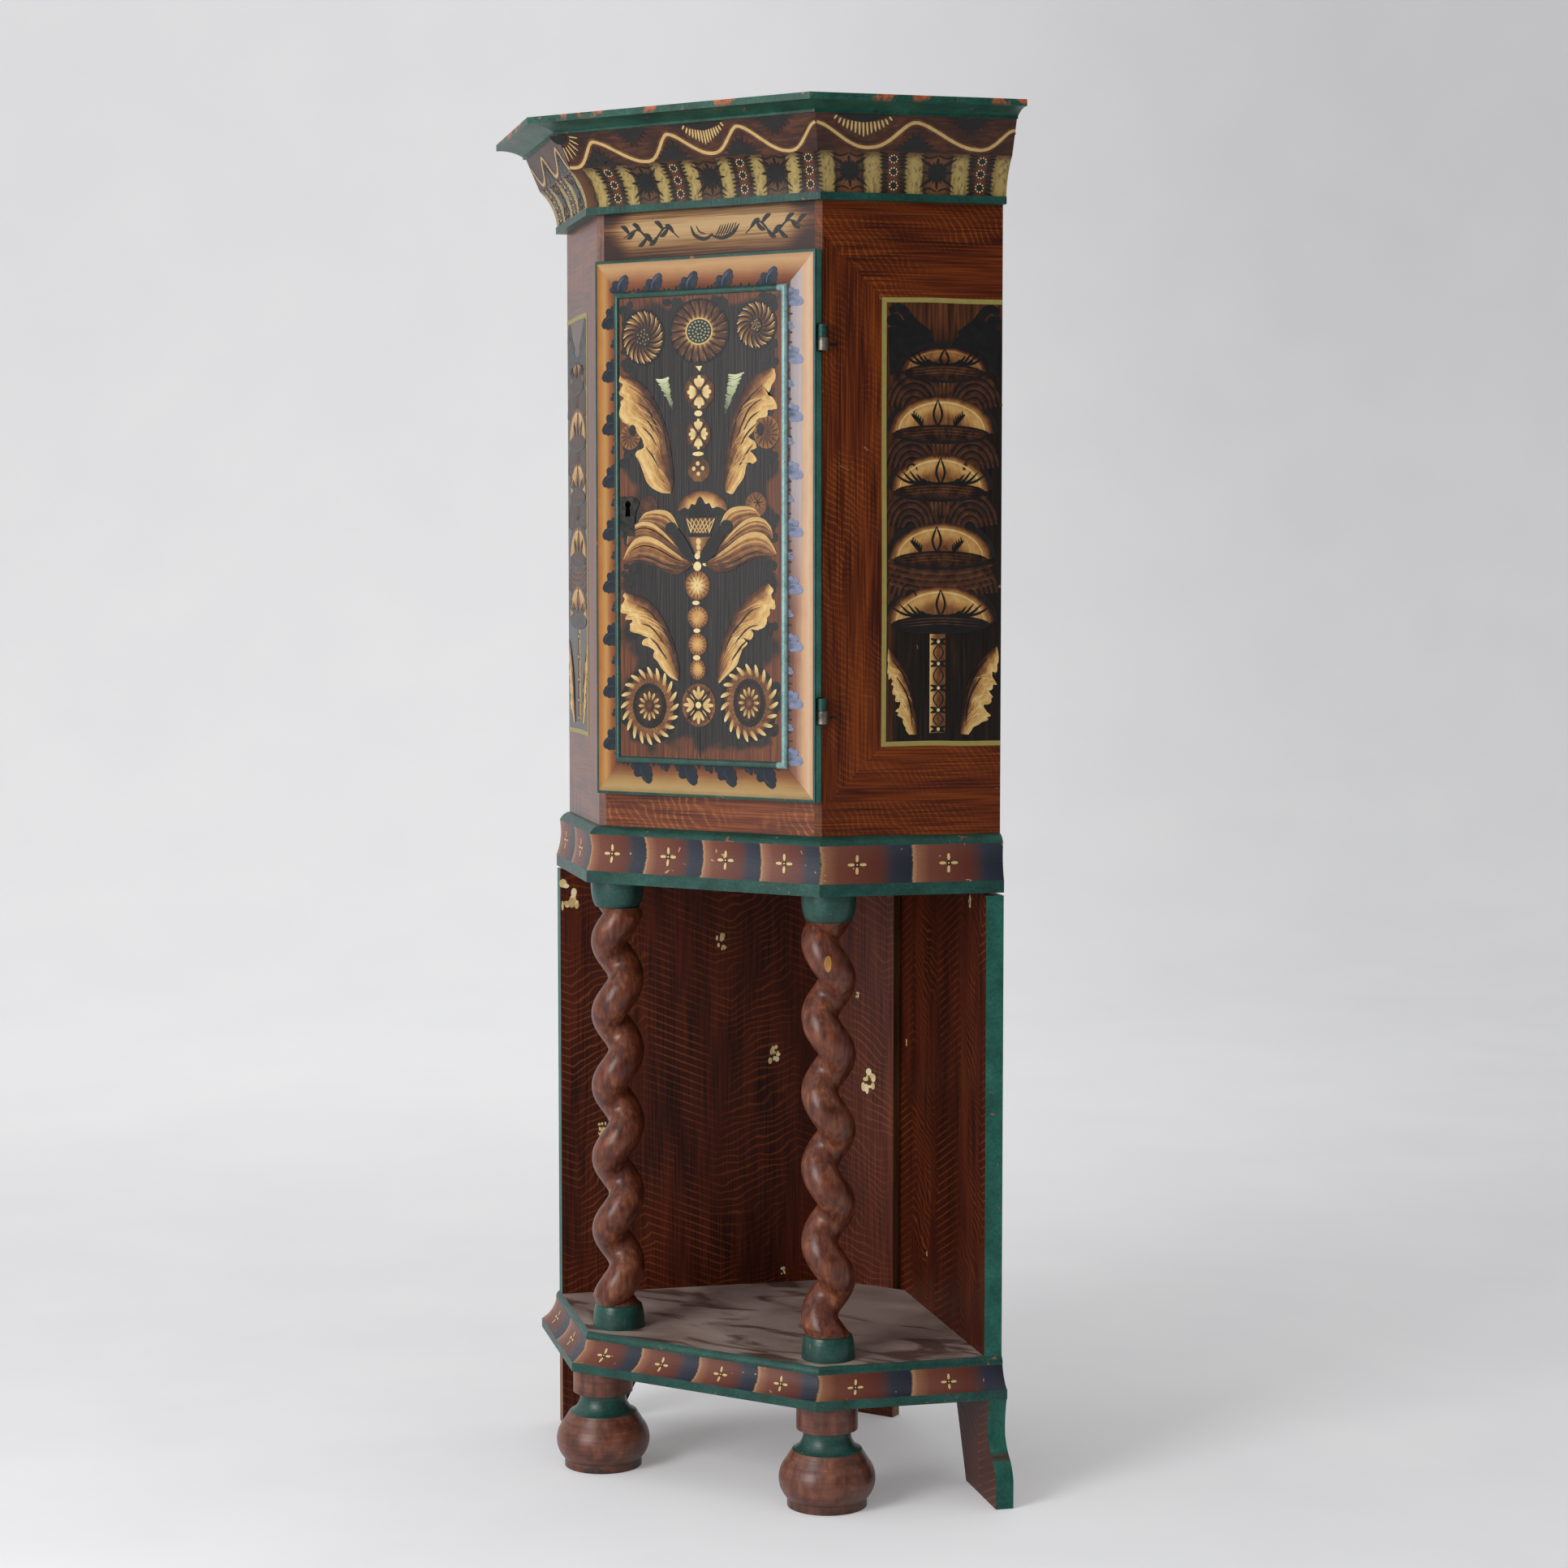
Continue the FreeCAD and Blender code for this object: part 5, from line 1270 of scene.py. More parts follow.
# Middle and radii of the pale dots between the blocks and beads, and of the beads from the top down
CHAIN_DOTS = (
    ((2.5, 1494), (6.5, 4)), ((2, 1439), (9, 3)), ((0.5, 1300), (4.5, 4.5)), ((0.5, 1286), (6.5, 6.5)),
    ((-12, 1289), (5, 2.6)), ((13, 1289), (4.2, 2.6)), ((-2, 1236), (6, 3)), ((-0.5, 1198), (5.5, 3)),
    ((-1, 1161), (6, 3.5)),
)
CHAIN_BEADS = (
    ((0.5, 1260), (20, 20)), ((1, 1216), (17, 15.5)), ((0.5, 1179), (15, 15.5)), ((0.5, 1145), (13, 14.5)),
)
SMALL_BLOCK_DOTS = ((1.5, 1426), (-5, 1419), (9.5, 1419.5), (2.5, 1412))


def paint_chains():
    """Blocks hang from the large flower, and beads stand on the cross disc."""
    door.cream.leaf([(-2, 1558), (1, 1555), (4, 1551)], [(9, 1558), (7, 1555), (5, 1551)], 0.5, 0.75, 5, 4)
    paint_flower_block((4, 1523), (22, 25.5), 0.75)
    paint_flower_block((2.5, 1466), (17.5, 23.5), 0.75)
    door.gold.leaf(*rounded_block((3, 1418), (16, 18)), 0.35, rim_shade(0.3, 0.1), 12, 7)
    for spot in SMALL_BLOCK_DOTS:
        door.cream.dot(spot, (3, 3), 0.55, 0.6)
    for middle, radii in CHAIN_DOTS:
        door.cream.dot(middle, radii, 0.5, 0.75)
    for middle, radii in CHAIN_BEADS:
        door.gold.oval(middle, radii, 0.35, rim_shade(0.78, 0.26, 1.8))
        door.gold.petals(middle, radii, 0.6, 0.98, 16, 1.4, 0.45, 0.2)
    door.cream.petals(*CHAIN_BEADS[0], 0.1, 0.62, 9, 3.4, 0.5, along_shade(0.75, 0.45))


# Veins of the left leaves; then the inner and outer edge of each leaf, from its base to its tip
UPPER_VEINS = (
    [(-100, 1530), (-75, 1510), (-60, 1490), (-53, 1470), (-48, 1445)],
    [(-100, 1512), (-80, 1500), (-68, 1480), (-58, 1460)],
    [(-95, 1495), (-80, 1485), (-70, 1470)],
    [(-90, 1478), (-75, 1465), (-65, 1450)],
    [(-84, 1450), (-72, 1436), (-62, 1420)],
)
LOWER_VEINS = (
    [(-96, 1231), (-80, 1225), (-65, 1210), (-53, 1197), (-45, 1185), (-38, 1165)],
    [(-93, 1207), (-78, 1203), (-65, 1192), (-55, 1180)],
    [(-78, 1188), (-66, 1178), (-56, 1166)],
    [(-66, 1176), (-58, 1168), (-50, 1158)],
)
UPPER_LEFT_LEAF = (
    [(-42, 1386), (-38, 1405), (-41, 1435), (-48, 1468), (-62, 1502), (-80, 1528), (-100, 1543),
     (-127, 1549)],
    [(-44, 1386), (-58, 1387), (-74, 1394), (-86, 1408), (-93, 1428), (-100, 1436), (-98, 1445),
     (-86, 1450), (-92, 1462), (-100, 1474), (-112, 1481), (-126, 1488), (-127, 1499), (-126, 1512),
     (-121, 1517), (-127, 1524), (-126, 1532), (-122, 1535), (-127, 1541), (-127, 1549)],
)
UPPER_RIGHT_LEAF = (
    [(46, 1388), (43, 1408), (46, 1440), (53, 1472), (63, 1503), (78, 1530), (97, 1546), (119, 1552)],
    [(49, 1386), (57, 1384), (66, 1394), (76, 1408), (82, 1425), (90, 1424), (96, 1428), (90, 1438),
     (86, 1443), (97, 1446), (92, 1455), (84, 1460), (92, 1471), (100, 1484), (112, 1488), (116, 1496),
     (120, 1496), (128, 1497), (124, 1510), (114, 1517), (120, 1526), (125, 1538), (126, 1550)],
)
LOWER_LEFT_LEAF = (
    [(-31, 1130), (-29, 1145), (-36, 1172), (-47, 1198), (-64, 1224), (-84, 1241), (-104, 1247),
     (-119, 1250)],
    [(-33, 1129), (-45, 1134), (-56, 1143), (-64, 1153), (-71, 1160), (-72, 1170), (-79, 1175),
     (-90, 1177), (-88, 1185), (-80, 1188), (-96, 1192), (-110, 1197), (-112, 1205), (-107, 1210),
     (-118, 1213), (-117, 1219), (-126, 1223), (-127, 1230), (-121, 1238), (-122, 1245), (-120, 1250)],
)
LOWER_RIGHT_LEAF = (
    [(33, 1128), (31, 1145), (38, 1172), (48, 1200), (62, 1224), (80, 1244), (100, 1258), (115, 1263)],
    [(36, 1127), (46, 1136), (58, 1146), (67, 1157), (70, 1168), (76, 1176), (81, 1183), (75, 1189),
     (86, 1186), (90, 1196), (88, 1201), (102, 1200), (110, 1208), (116, 1220), (117, 1228), (124, 1229),
     (126, 1238), (120, 1244), (122, 1254), (116, 1262)],
)
# Rows of a leaf, its hair lines, the bands of its shade and the lobes along its edge
LEAF_STEPS = 70
LEAF_HAIRS = 14
LEAF_BANDS = 4
LEAF_BAND_DEPTH = 0.18
LEAF_LOBES = 12


def leaf_shade(light, bright):
    """Black along the inner edge and bright on the outer lobes, in bands that flow out from the base."""

    def shade(along, across):
        tone = blend(0.0, light, min(1.0, across / 0.45))
        tone += (bright - light) * min(1.0, max(0.0, across - 0.4) / 0.35)
        band = (LEAF_BANDS * (across - 0.8 * along)) % 1.0
        return tone + LEAF_BAND_DEPTH * (band - 0.5) * min(1.0, across * 2.0)

    return shade


def scalloped(inner, outer, depth):
    """Points of a leaf's outer edge, with small lobes all along it."""
    points = []
    for index, (root, tip) in enumerate(zip(curve(inner, LEAF_STEPS), curve(outer, LEAF_STEPS))):
        share = index / (LEAF_STEPS - 1)
        lobe = depth * (abs(math.sin(math.pi * LEAF_LOBES * share)) - 0.6) * min(1.0, 4 * share)
        points.append(tip + (tip - root).normalized() * lobe)
    return points


def paint_leaf(brushes, edges, veins, light, bright, depth, chance):
    """A long lobed leaf with a dark back, dark veins and pale hair lines that follow its flow."""
    inner, outer = edges
    outside = scalloped(inner, outer, depth)
    inside = curve(inner, LEAF_STEPS)
    brushes.gold.leaf(inside, outside, 0.45, leaf_shade(light, bright), LEAF_STEPS, 31)
    for _ in range(LEAF_HAIRS):
        start = chance.uniform(0.02, 0.62)
        end = start + chance.uniform(0.15, 0.33)
        root = chance.uniform(0.1, 0.45)
        tip = chance.uniform(0.6, 0.95)
        spine = []
        for share in (0.0, 0.33, 0.67, 1.0):
            index = int(blend(start, end, share) * (LEAF_STEPS - 1))
            spine.append(inside[index].lerp(outside[index], blend(root, tip, share ** 1.5)))
        brushes.gold.stroke(spine, 1.1, 0.68, along_shade(light, bright + 0.2), (0.3, 0.1), 9)
    for vein in veins:
        brushes.black.stroke(vein, 2.2, 0.72, 0.1, (0.1, 0.3), 12)


def paint_leaf_pair(brushes, left, right, veins, middle, shades, depth, chance):
    """A left and a right leaf; the right one has the left one's veins, mirrored."""
    paint_leaf(brushes, left, veins, *shades, depth, chance)
    paint_leaf(brushes, right, [mirrored(vein, middle) for vein in veins], *shades, depth, chance)


def paint_leaves():
    """Two tall ochre leaves, and two paler ones below."""
    chance = random.Random(12)
    for left, right, veins, shades in ((UPPER_LEFT_LEAF, UPPER_RIGHT_LEAF, UPPER_VEINS, (0.46, 0.8)),
                                       (LOWER_LEFT_LEAF, LOWER_RIGHT_LEAF, LOWER_VEINS, (0.5, 0.82))):
        paint_leaf_pair(door, left, right, veins, FIELD_MIDDLE, shades, 3.0, chance)


# Rim and lower edge of each flute of the right wing, dark lines over it, and the left wing's droop
WING_FLUTES = (
    ([(30, 1312), (36, 1338), (46, 1356), (58, 1364), (76, 1366), (92, 1364), (102, 1354)],
     [(32, 1308), (50, 1322), (70, 1335), (85, 1342), (95, 1346), (103, 1350)]),
    ([(24, 1303), (44, 1320), (62, 1336), (78, 1347), (93, 1351), (108, 1348), (119, 1338), (122, 1324)],
     [(26, 1300), (50, 1310), (72, 1320), (90, 1326), (105, 1327), (115, 1325), (121, 1321)]),
    ([(14, 1292), (32, 1300), (50, 1311), (70, 1324), (90, 1331), (108, 1328), (121, 1316), (128, 1303)],
     [(14, 1288), (26, 1280), (40, 1277), (56, 1281), (74, 1289), (92, 1296), (110, 1298), (124, 1300)]),
)
WING_LINES = (
    [(34, 1289), (60, 1292), (82, 1302), (104, 1308)],
    [(42, 1281), (66, 1287), (88, 1297), (116, 1301)],
)
WING_DROOP = 7 / 125
# Share of the way up a flute, and shade, of each fine line along it
FLUTE_LINES = ((0.25, 0.1), (0.42, 0.45), (0.55, 0.2), (0.7, 0.68), (0.8, 0.35), (0.89, 0.8))
FLUTE_STEPS = 9


def wing_side(points, side):
    """Points of the right wing, or of the left one, which hangs a little lower."""
    if side == RIGHT:
        return points
    return [(2 * FIELD_MIDDLE - u, v - WING_DROOP * (u - FIELD_MIDDLE)) for u, v in points]


def flute_shade(along, across):
    """Brown below and bright at the rim in fine bands, darker at the root."""
    band = (4.0 * across) % 1.0
    tone = 0.2 + 0.3 * across + 0.3 * max(0.0, across - 0.65) / 0.35 + 0.14 * (band - 0.5)
    return tone * (0.35 + 0.65 * min(1.0, along * 2.2))


def paint_wings():
    """Wings of three overlapping flutes on both sides of the basket."""
    for side in BOTH:
        for order, (rim, lower) in enumerate(WING_FLUTES):
            lift = 0.42 + order * 0.12
            door.gold.leaf(wing_side(lower, side), wing_side(rim, side), lift, flute_shade, 30, 25)
            door.cream.stroke(wing_side(rim[1:-1], side), 3.0, lift + 0.06, 0.45, (0.2, 0.3), 20)
            for share, tone in FLUTE_LINES:
                pairs = zip(curve(lower, FLUTE_STEPS), curve(rim, FLUTE_STEPS))
                line = [root.lerp(tip, share) for root, tip in pairs][1:-1]
                door.gold.stroke(wing_side(line, side), 1.5, lift + 0.04, tone, FINE, 18)
        for line in WING_LINES:
            door.black.stroke(wing_side(line, side), 2.0, 0.85, 0.15, FINE, 14)


def paint_rings():
    """Discs behind the wings, and brown curls with a dark hole under the upper leaves."""
    for middle, radius, tone in (((95, 1369), 17, 0.42), ((-80, 1368), 15, 0.24)):
        door.gold.oval(middle, (radius, radius), 0.32, rim_shade(tone, tone - 0.14))
        door.gold.petals(middle, (radius, radius), 0.4, 0.95, 14, 1.4, 0.4, tone - 0.2)
    door.black.petals((98, 1372), (7, 7), 0.0, 1.0, 6, 2.0, 0.45, 0.1)
    for middle, radii, hole, hole_radii in (((112, 1466), (20, 22), (102, 1470), (6, 9)),
                                            ((-110, 1464), (16.5, 17), (-106, 1473), (6, 8))):
        door.gold.oval(middle, radii, 0.35, rim_shade(0.14, 0.4))
        door.gold.petals(middle, radii, 0.4, 0.97, 15, 2.0, 0.42, 0.1, 14)
        door.black.dot(hole, hole_radii, 0.5, 0.2)


def paint_basket():
    """A domed basket over a cone, between two dark commas."""
    door.gold.oval((9, 1361), (41, 28), 0.35, rim_shade(1.06, 0.14, 1.7), 0, count=14, columns=15)
    heap = [(-31, 1361), (-20, 1366), (-14, 1364), (-9, 1371), (-3, 1370), (1, 1378), (5, 1381), (9, 1378),
            (14, 1371), (20, 1372), (25, 1365), (34, 1367), (47, 1361)]
    door.black.leaf(heap, [(-30, 1359), (-10, 1354), (4, 1352), (22, 1354), (46, 1359)], 0.5, 0.25, 40, 4)
    left = [(-18, 1352), (-15, 1341), (-11, 1331)]
    right = [(30, 1352), (26, 1341), (21, 1331)]
    door.gold.leaf(left, right, 0.45, middle_shade(0.08, 0.16), 8, 7)
    bars = 7
    for index in range(bars):
        for lean in BOTH:
            top = index / (bars - 1)
            foot = min(1.0, max(0.0, top + lean * 0.34))
            bar = [(blend(-17, 29, top), 1351.5), (blend(-10, 20, foot), 1331.5)]
            door.cream.stroke(bar, 1.5, 0.6, 0.5, BLUNT, 5)
    door.black.stroke([(-13, 1329), (5, 1327), (23, 1329)], 3, 0.6, 0.2, BLUNT, 8)
    cone = ([(-15, 1326), (-6, 1310), (0, 1296)], [(22, 1326), (10, 1310), (2, 1296)])
    door.gold.leaf(*cone, 0.45, middle_shade(0.25, 0.2), 10, 7)
    for height, radius in ((1320, 4.2), (1312, 3.6), (1304.5, 2.8)):
        door.cream.dot((2.5, height), (radius, radius * 1.1), 0.6, 0.6)
    comma = [(10, 1291), (22, 1306), (34, 1324), (46, 1341)]
    for side in BOTH:
        door.black.stroke(wing_side(comma, side), 17, 0.9, 0.25, (0.2, 0.75), 14, 5)
        door.black.oval(wing_side([(48, 1340)], side)[0], (10, 9), 0.95, 0.25)


def paint_fans():
    """Small pale brushes beside the upper chain, of close short strokes that narrow to a tip."""
    chance = random.Random(15)
    strokes = 17
    for left, right, tip in (((-68, 1543), (-47, 1545), (-39, 1502)), ((51, 1545), (75, 1546), (45, 1493))):
        for index in range(strokes):
            share = index / strokes
            first = Vector(left).lerp(Vector(tip), share)
            first += Vector((chance.uniform(-1.5, 1), chance.uniform(-1, 1)))
            last = Vector(right).lerp(Vector(tip), share)
            last += Vector((chance.uniform(-1, 1.5), chance.uniform(-1, 1)))
            middle = first.lerp(last, 0.5) + Vector((0, -2.5))
            door.chalk.stroke([first, middle, last], 3.2, 0.3, blend(0.7, -0.1, share), (0.5, 0.4), 7)


# Distance of the side rows from the middle, height of the top row, and the places along them
SCALLOP_REACH, SCALLOP_TOP = 116, 1640
SCALLOP_HEIGHTS = (1640, 1618, 1585, 1563, 1452, 1432, 1345, 1322, 1280, 1262, 1200, 1120, 1098, 1070)
SCALLOP_PLACES = (-114, -40, -22, 32, 48, 112)
SCALLOP_LOBES = 4


def paint_dark_scallops():
    """Dark lobes that carry the black ground out to the edges."""
    chance = random.Random(4)
    spots = [(FIELD_MIDDLE + side * SCALLOP_REACH, height) for side in BOTH for height in SCALLOP_HEIGHTS]
    spots += [(place, SCALLOP_TOP) for place in SCALLOP_PLACES]
    for u, v in spots:
        for _ in range(SCALLOP_LOBES):
            lobe = (u + chance.uniform(-9, 8), v + chance.uniform(-9, 8))
            door.black.dot(lobe, (chance.uniform(4, 8), chance.uniform(4, 8)), 0.12, 0.3)


def paint_door_field():
    """All the ornament of the field, and the thin stem at its foot."""
    paint_dark_scallops()
    paint_sun_flower((4, 1605), (20, 16.5), (46, 42), 20)
    paint_side_flower((-88.5, 1600), (13, 15), (32, 35), 19, 40)
    paint_side_flower((95, 1610), (9, 10.5), (29.5, 30), 17, 40)
    paint_wheel_flower((-79, 1093), (28, 31.5), (48, 54), (7, 7.5), 17, 26)
    paint_wheel_flower((84, 1101), (25.5, 33), (46, 53), (7, 8), 16, 26)
    paint_cross_disc((2, 1096), (27.5, 29.5))
    paint_chains()
    paint_leaves()
    paint_rings()
    paint_wings()
    paint_basket()
    paint_fans()
    door.black.stroke([(4, 1066), (3, 1046), (4, 1024)], 1.8, 0.3, 0.0, (0.4, 1.0), 6)
    door.build()


paint_door_field()

# Dark leaves along the door's frame; u runs outwards from the bead and v along the strip
frame_paint = Palette("door_frame", "door", "frame_tan", ("navy",))
# Edges of a leaf, its size across the strip, its lobes with their radii, and its tone on each strip
LEAF_BACK = ((0, -12), (6, -13), (12, -9), (17, -5), (15, -2), (21, 1), (25, 6))
LEAF_FRONT = ((0, 12), (8, 11), (13, 9), (18, 12), (23, 13), (26, 10))
LEAF_SIZE = 26
LEAF_LOBE_SPOTS = ((7, 11, 5), (14, 11.5, 5), (20, 10, 5), (13, -7, 5), (5, -11, 4))
# The right strip's pale leaf tone is a painted sheen on the same navy paint
LEAF_TONES = {"top": 0.4, "left": 0.2, "right": 0.82, "bottom": 0.2}


def paint_frame_leaf(place, size, lean, tone):
    """A lobed leaf that grows from the bead across the strip and leans along it."""
    scale = size / LEAF_SIZE

    def spot(u, v):
        return u * scale, place + lean * v * scale

    back = [spot(*point) for point in LEAF_BACK]
    front = [spot(*point) for point in LEAF_FRONT]
    frame_paint.navy.leaf(back, front, 0.3, along_shade(tone, tone + 0.3), 24, 5)
    for u, v, radius in LEAF_LOBE_SPOTS:
        frame_paint.navy.dot(spot(u, v), (radius * scale, radius * scale), 0.34, tone + 0.15)
    rib = [spot(2, 0), spot(12, 0), spot(22, 8)]
    frame_paint.navy.stroke(rib, 1.2, 0.46, tone + 0.5, (0.2, 0.1), 9)


def evenly(first, spacing, count):
    """Places at equal distances."""
    return [first + spacing * index for index in range(count)]


# Places, size and lean of each row of leaves along a strip
FRAME_LEAVES = {
    "top": (((-132, -76, -18, 39, 110), 25, 1),),
    "left": ((evenly(1046, 73, 9), 27, -1), (evenly(1083, 73, 8), 10, -1)),
    "right": ((evenly(1030, 77, 9), 21, -1), (evenly(1069, 77, 8), 8, -1)),
    "bottom": (((-97, -22, 42, 105), 29, 1), ((-59, 15, 80), 11, 1)),
}
# First and last place of the dashes beside the bead, on the level and on the upright strips
DASH_ENDS = {"z": (-125, 130), "x": (1025, 1650)}


def paint_frame():
    """Leaves along each strip, and short dark dashes beside the bead, partly a painted shadow of the bead."""
    chance = random.Random(9)
    for where, rows in FRAME_LEAVES.items():
        strip = Strip(where)
        frame_paint.turn_to(strip)
        for places, size, lean in rows:
            for place in places:
                paint_frame_leaf(place, size, lean, LEAF_TONES[where])
        place, last = DASH_ENDS[strip.axis]
        while place < last:
            dash = [(0.2, place), (chance.uniform(2, 6), place + chance.uniform(-1, 1))]
            frame_paint.navy.stroke(dash, chance.uniform(2, 4), 0.25, 0.3, (0.9, 0.3), 4)
            place += chance.uniform(5, 14)
    frame_paint.build()


paint_frame()

# Ornament of the canted sides, in millimetres from the front corner and the floor
PANEL_MIDDLE = 164
PANEL_END = RETURN_LENGTH / MM - 0.5
# Middle and half width of each dome, its foot, rise and brightness, from the top down
Dome = collections.namedtuple("Dome", "middle half base rise brightness")
DOMES = (
    Dome(170, 62, 1548, 34, 0.6),
    Dome(167, 74, 1466, 50, 1.0),
    Dome(165, 70, 1388, 50, 1.0),
    Dome(166, 73, 1296, 49, 1.0),
    Dome(166, 76, 1209, 51, 1.0),
)
FOLDED_DOME = DOMES[3]
LEFT_PANEL_LEAF = (
    [(134, 1058), (132, 1080), (128, 1105), (122, 1130), (112, 1150), (100, 1168), (93, 1176)],
    [(122, 1058), (117, 1066), (113, 1078), (106, 1086), (105, 1092), (110, 1098), (104, 1105),
     (100, 1115), (98, 1127), (100, 1133), (95, 1134), (92, 1140), (92, 1155), (92, 1170)],
)
RIGHT_PANEL_LEAF = (
    [(194, 1058), (196, 1080), (200, 1105), (207, 1130), (218, 1150), (232, 1168), (245, 1177)],
    [(206, 1057), (215, 1068), (231, 1076), (236, 1084), (228, 1094), (240, 1105), (236, 1117),
     (245, 1126), (239, 1138), (247, 1147), (248, 1174)],
)
PANEL_VEINS = (
    [(126, 1068), (124, 1095), (116, 1118), (104, 1136)],
    [(129, 1090), (122, 1120), (110, 1144), (97, 1160)],
)
PLUME_MIDDLE = 170
POLE_LEFT, POLE_MIDDLE, POLE_RIGHT = 151, 163, 173
POLE_HEIGHTS = (1060, 1130, 1197)
POLE_BANDS = (1065, 1091, 1121, 1154, 1184)


def dome_shade(brightness):
    """Reddish brown inside, tan under the bright line, and a dark glow at the rim."""

    def shade(radius, across):
        tone = 0.28 + 0.43 * math.exp(-((radius - 0.72) / 0.2) ** 2)
        return brightness * tone - 0.34 * max(0.0, radius - 0.86) / 0.14

    return shade


def paint_dome(panel, dome):
    """A gilded dome with a bright arched line, on a brown lid with fine lines."""
    middle, half, base, rise, brightness = dome
    panel.black.oval((middle, base + 2), (half + 5, rise + 5), 0.12, 0.45, 0)
    panel.gold.oval((middle, base), (half, rise), 0.25, dome_shade(brightness), 0, count=20, columns=25)
    bow = arc((middle, base), (half * 0.82, rise * 0.82), 174, 6, 15)
    panel.gold.stroke(bow, 2.6, 0.33, brightness * 0.86, HALVED, 40)
    panel.black.oval((middle, base - 2), (half * 0.92, 13), 0.42, 0.3)
    panel.gold.oval((middle, base - 1), (half * 0.86, 10), 0.46, rim_shade(0.09, 0.02))
    for drop in (0, 4, 8):
        edge, level = half * 0.74, base - drop
        lid = [(middle - edge, level + 3), (middle, level + 7), (middle + edge, level + 3)]
        panel.gold.stroke(lid, 0.9, 0.56, 0.24, FINE, 11)


def paint_lens(panel, middle, base, rise):
    """A double blade that rises to the dome's rim."""
    for side in BOTH:
        blade = [(middle, base + 8), (middle + side * 6, base + rise * 0.5), (middle, base + rise * 0.9)]
        panel.black.stroke(blade, 3.0, 0.55, 0.1, (0.6, 0.2), 9)


def paint_commas(panel, dome):
    """A double blade between two dark commas with fine hairs."""
    base = dome.base
    paint_lens(panel, dome.middle - 6, base, dome.rise)
    for offset, lean in ((-34, LEFT), (23, RIGHT)):
        spot = dome.middle + offset
        spine = [(spot - lean * 6, base + 9), (spot, base + 17), (spot + lean * 9, base + 25)]
        panel.black.stroke(spine, 6.0, 0.55, 0.1, (0.5, 0.2), 9)
        for index in range(5):
            root = (spot + lean * (index * 3 - 6), base + 11 + index * 2.5)
            panel.black.stroke([root, (root[0] - lean, root[1] + 9)], 1.6, 0.6, 0.1, (0.8, 0.1), 5)


# Reach, as a share of the dome's half width, and height of each lash's tip
LASH_TIPS = ((1.0, 22), (0.84, 26), (0.68, 27), (0.53, 23), (0.4, 17), (0.27, 13))


def paint_lashes(panel, dome):
    """A double blade, and dark lashes that sweep out from it along the base and curl up."""
    middle, half, base = dome.middle, dome.half, dome.base
    paint_lens(panel, middle, base, dome.rise)
    for side in BOTH:
        for reach, height in LASH_TIPS:
            tip = (middle + side * half * 0.92 * reach, base + height)
            bend = (middle + side * half * 0.6 * reach, base + 9 + height * 0.08)
            panel.black.stroke([(middle + side * 2, base + 10), bend, tip], 3.4, 0.55, 0.1, POINTED, 10)


# Shares of the outermost arch
SHELL_SHARES = (1.0, 0.82, 0.64, 0.46, 0.28)


def paint_shells(panel, dome):
    """Nested arches at both sides below a dome, and flutes between them."""
    middle, base = dome.middle, dome.base
    for side in BOTH:
        hub = (middle + side * 42, base - 52)
        for order, share in enumerate(SHELL_SHARES):
            wide, high = 39 * share, 50 * share
            lift = 0.16 + 0.02 * order
            bright = arc(hub, (wide, high), 172, 8, 9)
            panel.gold.stroke(bright, 6.5, lift, across_shade(0.17, 0.03), BLUNT, 18)
            dark = arc(hub, (wide - 3.4, high - 4.4), 172, 8, 9)
            panel.black.stroke(dark, 2.6, lift + 0.01, 0.1, BLUNT, 18)
    for index in range(-2, 3):
        flute = [(middle + index * 6.0, base - 12), (middle + index * 5.0, base - 34)]
        panel.gold.stroke(flute, 4.4, 0.3, along_shade(0.24, 0.1), (0.8, 0.3), 5)


def paint_lid_waves(panel, dome):
    """Long level folds under a lid."""
    half = dome.half
    for order in range(4):
        level = dome.base - 13 - order * 8
        fold = [(dome.middle + reach, level + rise)
                for reach, rise in ((-half, 5), (-half * 0.4, -4), (half * 0.4, -4), (half, 5))]
        panel.gold.stroke(fold, 7.0, 0.34 - 0.02 * order, across_shade(0.22, 0.05), HALVED, 18)


def pole_shade(along, across):
    """Bright along the left edge."""
    return 0.92 - 0.66 * min(1.0, across * 2.2)


def paint_pole(panel):
    """A turned pole, lit along its left edge, with dark bands and white dots."""
    left, right = [[(edge, height) for height in POLE_HEIGHTS] for edge in (POLE_LEFT, POLE_RIGHT)]
    panel.gold.leaf(left, right, 0.3, pole_shade, 12, 9)
    for lower, upper in zip(POLE_BANDS, POLE_BANDS[1:]):
        for side in BOTH:
            bulge = (POLE_MIDDLE + side * 7, (lower + upper) / 2)
            spine = [(POLE_MIDDLE, lower + 3), bulge, (POLE_MIDDLE, upper - 3)]
            panel.black.stroke(spine, 1.8, 0.45, 0.2, HALVED, 9)
    for height in POLE_BANDS:
        for lean in BOTH:
            tilt = 4 * lean
            band = [(POLE_LEFT + 1, height - tilt), (POLE_MIDDLE, height), (POLE_RIGHT, height + tilt)]
            panel.black.stroke(band, 5.0, 0.5, 0.1, (0.3, 0.3), 8)
        panel.gold.dot((POLE_MIDDLE, height), (2.2, 2.4), 0.68, 0.95)


